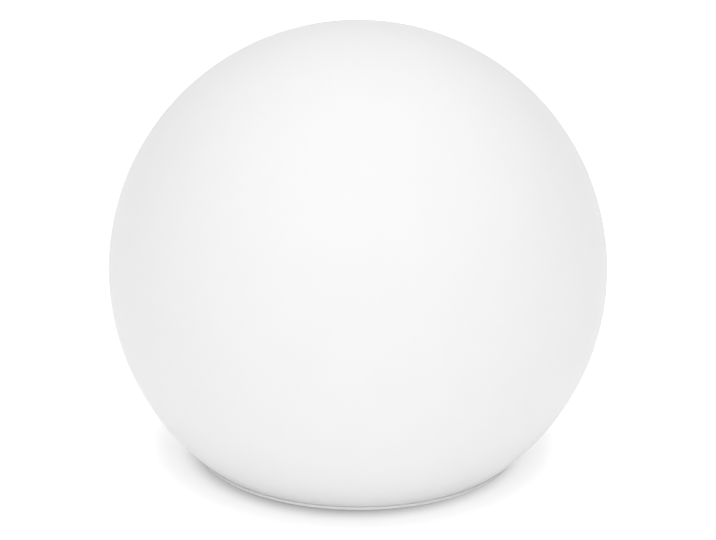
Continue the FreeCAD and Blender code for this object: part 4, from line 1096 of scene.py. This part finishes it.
# ------------------------------------------------------- what the board carries
# A resin-cased chip with 32 legs, a ferrite coil with its winding in a ring, two
# capacitors in drawn cans on black feet, and black terminals with nickel screws.

CHIP_ROUND = 0.12
DIMPLE_IN = 1
DIMPLE_RADIUS = 0.45
DIMPLE_DEPTH = 0.1
LEGS_A_SIDE = 8
LEG_PITCH = 0.843
LEG_WIDTH = 0.3
LEG_ROUND = 0.03
# The shoulder, shin and toe of a leg: near and far ends, lower and upper faces.
LEG_PARTS = ((-0.1, 0.48, 0.45, 0.6), (0.35, 0.5, 0.05, 0.58), (0.38, 0.95, 0, 0.12))

board_top = span("control_board")[1].z
chip_low, chip_high = span("control_chip")
chip = bevelled(slab("control_chip", chip_low, chip_high), CHIP_ROUND)
dimple = tube("dimple", (chip_low.x + DIMPLE_IN, chip_high.y - DIMPLE_IN), 0,
              DIMPLE_RADIUS, chip_high.z - DIMPLE_DEPTH, chip_high.z + PAST, 24)
combined(chip, dimple, "DIFFERENCE")
resin = skinned("mould_resin", moulded_skin, (0.05, 0.05, 0.05), roughness=0.6,
                depth=0.008, tone=0.2, Grain=0.15, Cloud=3)
fit(chip, "base", "chip_resin", "control_chip", finish=resin)
side = chip_high.x
first_y = -(LEGS_A_SIDE - 1) / 2 * LEG_PITCH - LEG_WIDTH / 2
shoulder, shin, toe = [
    slab("chip_legs", (side + near, first_y, board_top + low),
         (side + far, first_y + LEG_WIDTH, board_top + high))
    for near, far, low, high in LEG_PARTS]
legs = combined(combined(shoulder, shin, "UNION"), toe, "UNION")
modified(bevelled(legs, LEG_ROUND), "ARRAY", count=LEGS_A_SIDE,
         use_relative_offset=False, use_constant_offset=True,
         constant_offset_displace=(0, LEG_PITCH * MM, 0))
fit(ring_of(legs, 4), "base", "contact_nickel", finish=nickel)

COIL_ROUND = 0.6
WINDING = (3.2, 4)
WINDING_DEPTH = 0.7

coil_low, coil_high = span("driver_coil")
coil = bevelled(slab("driver_coil", coil_low, coil_high), COIL_ROUND, 3)
winding_low = coil_high.z - WINDING_DEPTH
groove = tube("groove", ((coil_low + coil_high) / 2).to_2d(), *WINDING, winding_low,
              coil_high.z + PAST, 64)
combined(coil, groove, "DIFFERENCE")
winding = metal("enamelled_copper", (0.6, 0.25, 0.1), roughness=0.3, line=0.3)
painted(coil, resin, (winding, bottom_at(winding_low)))
fit(coil, "base", "chip_resin", "driver_coil")

CAN_RING = 15
CAN_RADIUS = 3.15
CAN_LOW = 0.8
CAN_FOOT = 0.95
CAN_FOOT_ROUND = 0.5
CAN_BEAD = (1.5, 1.75, 2)               # the start, middle and end of its groove
CAN_BEAD_RADIUS = 2.85
CAN_SHOULDER = 0.4
CAN_DISH = 0.08
CAN_STRIPE = 0.9                        # the black stripe on top, out from its middle

can_top = span("board_capacitors")[1].z
cans = lathe("board_capacitors", [
    (0, board_top + CAN_LOW), (CAN_RADIUS - 0.2, board_top + CAN_LOW),
    (CAN_RADIUS, board_top + 1.1), (CAN_RADIUS, board_top + CAN_BEAD[0]),
    (CAN_BEAD_RADIUS, board_top + CAN_BEAD[1]), (CAN_RADIUS, board_top + CAN_BEAD[2]),
    (CAN_RADIUS, can_top - CAN_SHOULDER), (2.9, can_top), (2.5, can_top - CAN_DISH),
    (0, can_top - CAN_DISH)], at=(CAN_RING, 0), steps=64)
foot = slab("foot", (CAN_RING - CAN_RADIUS, -CAN_RADIUS, board_top),
            (CAN_RING + CAN_RADIUS, CAN_RADIUS, board_top + CAN_FOOT))
bevelled(foot, CAN_FOOT_ROUND)


def on_foot_or_stripe(at, out):
    """Whether a capacitor's face is black."""
    on_top = out.z > 0.95 and at.z > can_top - 0.2
    return at.z < board_top + CAN_FOOT + 0.01 or on_top and at.x > CAN_RING + CAN_STRIPE


painted(joined(cans, foot),
        metal("drawn_can", (0.75, 0.75, 0.76), roughness=0.25, line=0.2),
        (moulded_black, on_foot_or_stripe))
fit(ring_of(cans, 2, 300), "base", "capacitor_can", "board_capacitors")

# A block, the mouth for its lead and its screw's slot, each by two of its corners.
TERMINAL = ((-7, -2.48, 0), (0, 2.48, 6))
TERMINAL_MOUTH = ((-2.5, -1.2, 1.8), (1, 1.2, 4.2))
TERMINAL_SLOT = ((-6, -0.25, 5.1), (-1, 0.25, 6))
TERMINAL_SCREW = (-3.5, 0)
# The well over its screw and the screw's head, each by its radius, foot and top.
TERMINAL_WELL = (1.7, 4.8, 7)
TERMINAL_HEAD = (1.5, 4, 5.5)
TERMINAL_ROUND = 0.3
HEAD_ROUND = 0.08


def terminal(turn, to):
    """A screw terminal whose lead comes in along +X, and the head of its screw."""
    body = bevelled(slab("terminal", *TERMINAL), TERMINAL_ROUND)
    combined(body, slab("mouth", *TERMINAL_MOUTH), "DIFFERENCE")
    combined(body, tube("well", TERMINAL_SCREW, 0, *TERMINAL_WELL, 32), "DIFFERENCE")
    head = tube("head", TERMINAL_SCREW, 0, *TERMINAL_HEAD, 32)
    combined(head, slab("slot", *TERMINAL_SLOT), "DIFFERENCE")
    bevelled(head, HEAD_ROUND)
    return [placed(piece, (0, 0, turn), to) for piece in (body, head)]


terminal_far = span("battery_terminals")[1].y
heads = []
for name, turn, places in (
        ("battery_terminals", 90, ((-9.5, terminal_far), (9.5, terminal_far))),
        ("led_terminal", 0, ((terminal_far, -2.5), (terminal_far, 2.5)))):
    made = [terminal(turn, (x, y, board_top)) for x, y in places]
    bodies = joined(*[body for body, head in made])
    bodies.name = name
    heads += [head for body, head in made]
    fit(bodies, "base", "switch_plastic", name, finish=moulded_black)
heads = joined(*heads)
heads.name = "terminal_screws"
fit(heads, "base", "contact_nickel", finish=nickel)

# ------------------------------------------------------------------ the battery
# Two lithium cells lie head to tail in a moulded tray, between nickel contacts.
# Each is a steel can in a shrunk blue film, with a paper ring round its cap.

NUB_RADIUS = 2.8
NUB = 0.8
NUB_EDGE = 0.2
CELL_EDGE = 0.7
CELL_GROOVE = 0.5
CELL_GROOVE_DOWN = (4.2, 3.6, 3.2, 2.6)     # its four corners, below the cell's top
CELL_DISH = 0.15
FILM_INNER = 7.4
CAP_RADIUS = 4.6

film = skinned("shrunk_film", moulded_skin, (0.07, 0.24, 0.5), roughness=0.28,
               depth=0.012, tone=0.06, Grain=2.5, Cloud=12, Coat_Weight=0.4)
steel = metal("can_steel", (0.6, 0.6, 0.6), roughness=0.3, line=0.3)
paper = skinned("insulating_paper", moulded_skin, (0.75, 0.76, 0.72), roughness=0.8,
                depth=0.02, tone=0.05, Grain=0.15, Cloud=1)
for name, lying in (("battery_cell_1", -90), ("battery_cell_2", 90)):
    low, high = span(name)
    middle = (low + high) / 2
    radius = (high.z - low.z) / 2
    length = high.y - low.y
    top = length - NUB
    waist = radius - CELL_GROOVE
    groove = [(reach, top - down) for reach, down
              in zip((radius, waist, waist, radius), CELL_GROOVE_DOWN)]
    cell = lathe(name, [(0, CELL_DISH), (FILM_INNER, CELL_DISH), (FILM_INNER + 0.2, 0)]
                 + arc((radius - CELL_EDGE, CELL_EDGE), CELL_EDGE, -90, 0) + groove
                 + arc((radius - CELL_EDGE, top - CELL_EDGE), CELL_EDGE, 0, 90)
                 + [(FILM_INNER, top), (FILM_INNER - 0.2, top - 0.25),
                    (CAP_RADIUS, top - 0.25), (CAP_RADIUS - 0.2, top - 0.1),
                    (NUB_RADIUS + 0.4, top - 0.1), (NUB_RADIUS, top + 0.1),
                    (NUB_RADIUS, length - NUB_EDGE), (NUB_RADIUS - NUB_EDGE, length),
                    (0, length)], steps=72)
    painted(cell, film,
            (steel, lambda at, out: at.z < 0.16 and at.to_2d().length < 7.5
             or at.z > top - 0.3 and at.to_2d().length < 4.5),
            (paper, lambda at, out: at.z > top - 0.3 and 4.5 < at.to_2d().length < 7.3))
    placed(cell, (lying, 0, 0), (middle.x, low.y if lying < 0 else high.y, middle.z))
    fit(cell, "base", "cell_wrap", name)
refinished(nickel, "battery_contacts")


def insulation(name, colour):
    """The silicone skin of a lead."""
    return skinned(name, moulded_skin, colour, roughness=0.5, depth=0.01, tone=0.08,
                   Grain=0.5, Cloud=4)


refinished(insulation("red_silicone", (0.55, 0.03, 0.02)), "battery_lead_red",
           "led_lead_red")
refinished(insulation("black_silicone", (0.03, 0.03, 0.03)), "battery_lead_black",
           "led_lead_black")

# ------------------------------------------------------------ the module housing
# One white moulding closes the module from above. It has four feet for its own
# screws, four bosses under its roof, and a hole with a grommet for two leads.

GROMMET_RADIUS = 4.5
GROMMET_LIP = 1                         # as wide as it is thick
LEAD_HOLE = 0.73
LEAD_PLACE = 2.5

refinished(skinned("housing_white", moulded_skin, (0.86, 0.86, 0.86), roughness=0.5,
                   depth=0.012, tone=0.015, Grain=0.6, Cloud=20),
           "module_housing", "battery_tray")
low, high = span("lead_grommet")
middle = (low + high) / 2
lip = GROMMET_RADIUS + GROMMET_LIP
grommet = lathe("lead_grommet", [
    (0, low.z), (lip - 0.3, low.z), (lip, low.z + 0.3), (lip, low.z + 0.8),
    (lip - 0.2, low.z + GROMMET_LIP), (GROMMET_RADIUS, low.z + GROMMET_LIP),
    (GROMMET_RADIUS, high.z), (0, high.z)], at=middle.to_2d(), steps=64)
for across in (-LEAD_PLACE, LEAD_PLACE):
    hole = tube("hole", (middle.x, across), 0, LEAD_HOLE, low.z - PAST, high.z + PAST,
                24)
    combined(grommet, hole, "DIFFERENCE")
fit(grommet, "base", "seal_rubber", "lead_grommet", finish=seal_silicone)

# -------------------------------------------------------------- the light source
# White diodes in two rings on a white-masked aluminium board, over a stamped
# aluminium spreader. A frosted dome fits over the roof and seals on a ring.

LED_SIZE = 5
LED_LENS = 1.85
LED_COUNTS = (12, 6)                    # in the outer ring and the inner one

refinished(metal("stamped_aluminium", (0.8, 0.8, 0.81), roughness=0.35, line=0.4,
                 depth=0.004), "heat_spreader")
refinished(board_mask("white_mask", (0.86, 0.86, 0.86), (0.8, 0.8, 0.79),
                      (0.6, 0.6, 0.61), 0.35), "led_board")
low, high = span("leds")
outer_ring = high.x - LED_SIZE / 2
rings = []
for ring, count in zip((outer_ring, outer_ring / 2), LED_COUNTS):
    led = diode("leds", (ring - LED_SIZE / 2, -LED_SIZE / 2, low.z),
                (ring + LED_SIZE / 2, LED_SIZE / 2, high.z), 1, LED_LENS)
    rings.append(ring_of(led, count))
fit(joined(*rings), "base", "led_phosphor", "leds")

DOME_RISE = 20
DOME_WALL = 2
DOME_SEAT = 50
DOME_ARC_STEPS = 40
SKIRT = 52.6
SKIRT_EDGE = 0.4
DOME_ROUND = 0.3
DOME_STEPS = 144

low, high = span("led_cover")
outer = (high.x ** 2 + DOME_RISE ** 2) / (2 * DOME_RISE)
inner_rise = DOME_RISE - DOME_WALL
inner = (DOME_SEAT ** 2 + inner_rise ** 2) / (2 * inner_rise)
outer_turn = math.degrees(math.asin((outer - DOME_RISE) / outer))
inner_turn = math.degrees(math.asin((inner - inner_rise) / inner))
roof = span("module_housing")[1].z
dome = lathe("led_cover", arc((0, high.z - outer), outer, 90, outer_turn,
                              DOME_ARC_STEPS)
             + [(high.x, low.z + SKIRT_EDGE), (high.x - SKIRT_EDGE, low.z),
                (SKIRT + SKIRT_EDGE, low.z), (SKIRT, low.z + SKIRT_EDGE), (SKIRT, roof),
                (DOME_SEAT, roof)]
             + arc((0, high.z - DOME_WALL - inner), inner, inner_turn, 90,
                   DOME_ARC_STEPS),
             steps=DOME_STEPS)
bevelled(dome, DOME_ROUND, angle=40)
fit(dome, "base", "frosted_plastic", "led_cover", finish=skinned(
    "frosted_polycarbonate", moulded_skin, (0.94, 0.94, 0.93), roughness=0.55,
    depth=0.004, tone=0.008, Grain=0.3, Cloud=20, Subsurface_Weight=0.3,
    Subsurface_Radius=(1, 1, 1), Subsurface_Scale=2 * MM))

RING_SIDES = 12
RING_HALF_WIDTH = 0.6

low, high = span("led_cover_seal")
middle_z = (low.z + high.z) / 2
half_height = high.z - middle_z
turns = [2 * math.pi * k / RING_SIDES for k in range(RING_SIDES)]
ring_seal = lathe("led_cover_seal", [
    (high.x - RING_HALF_WIDTH + RING_HALF_WIDTH * math.cos(turn),
     middle_z + half_height * math.sin(turn)) for turn in turns], steps=DOME_STEPS)
fit(ring_seal, "base", "seal_rubber", "led_cover_seal", finish=seal_silicone)
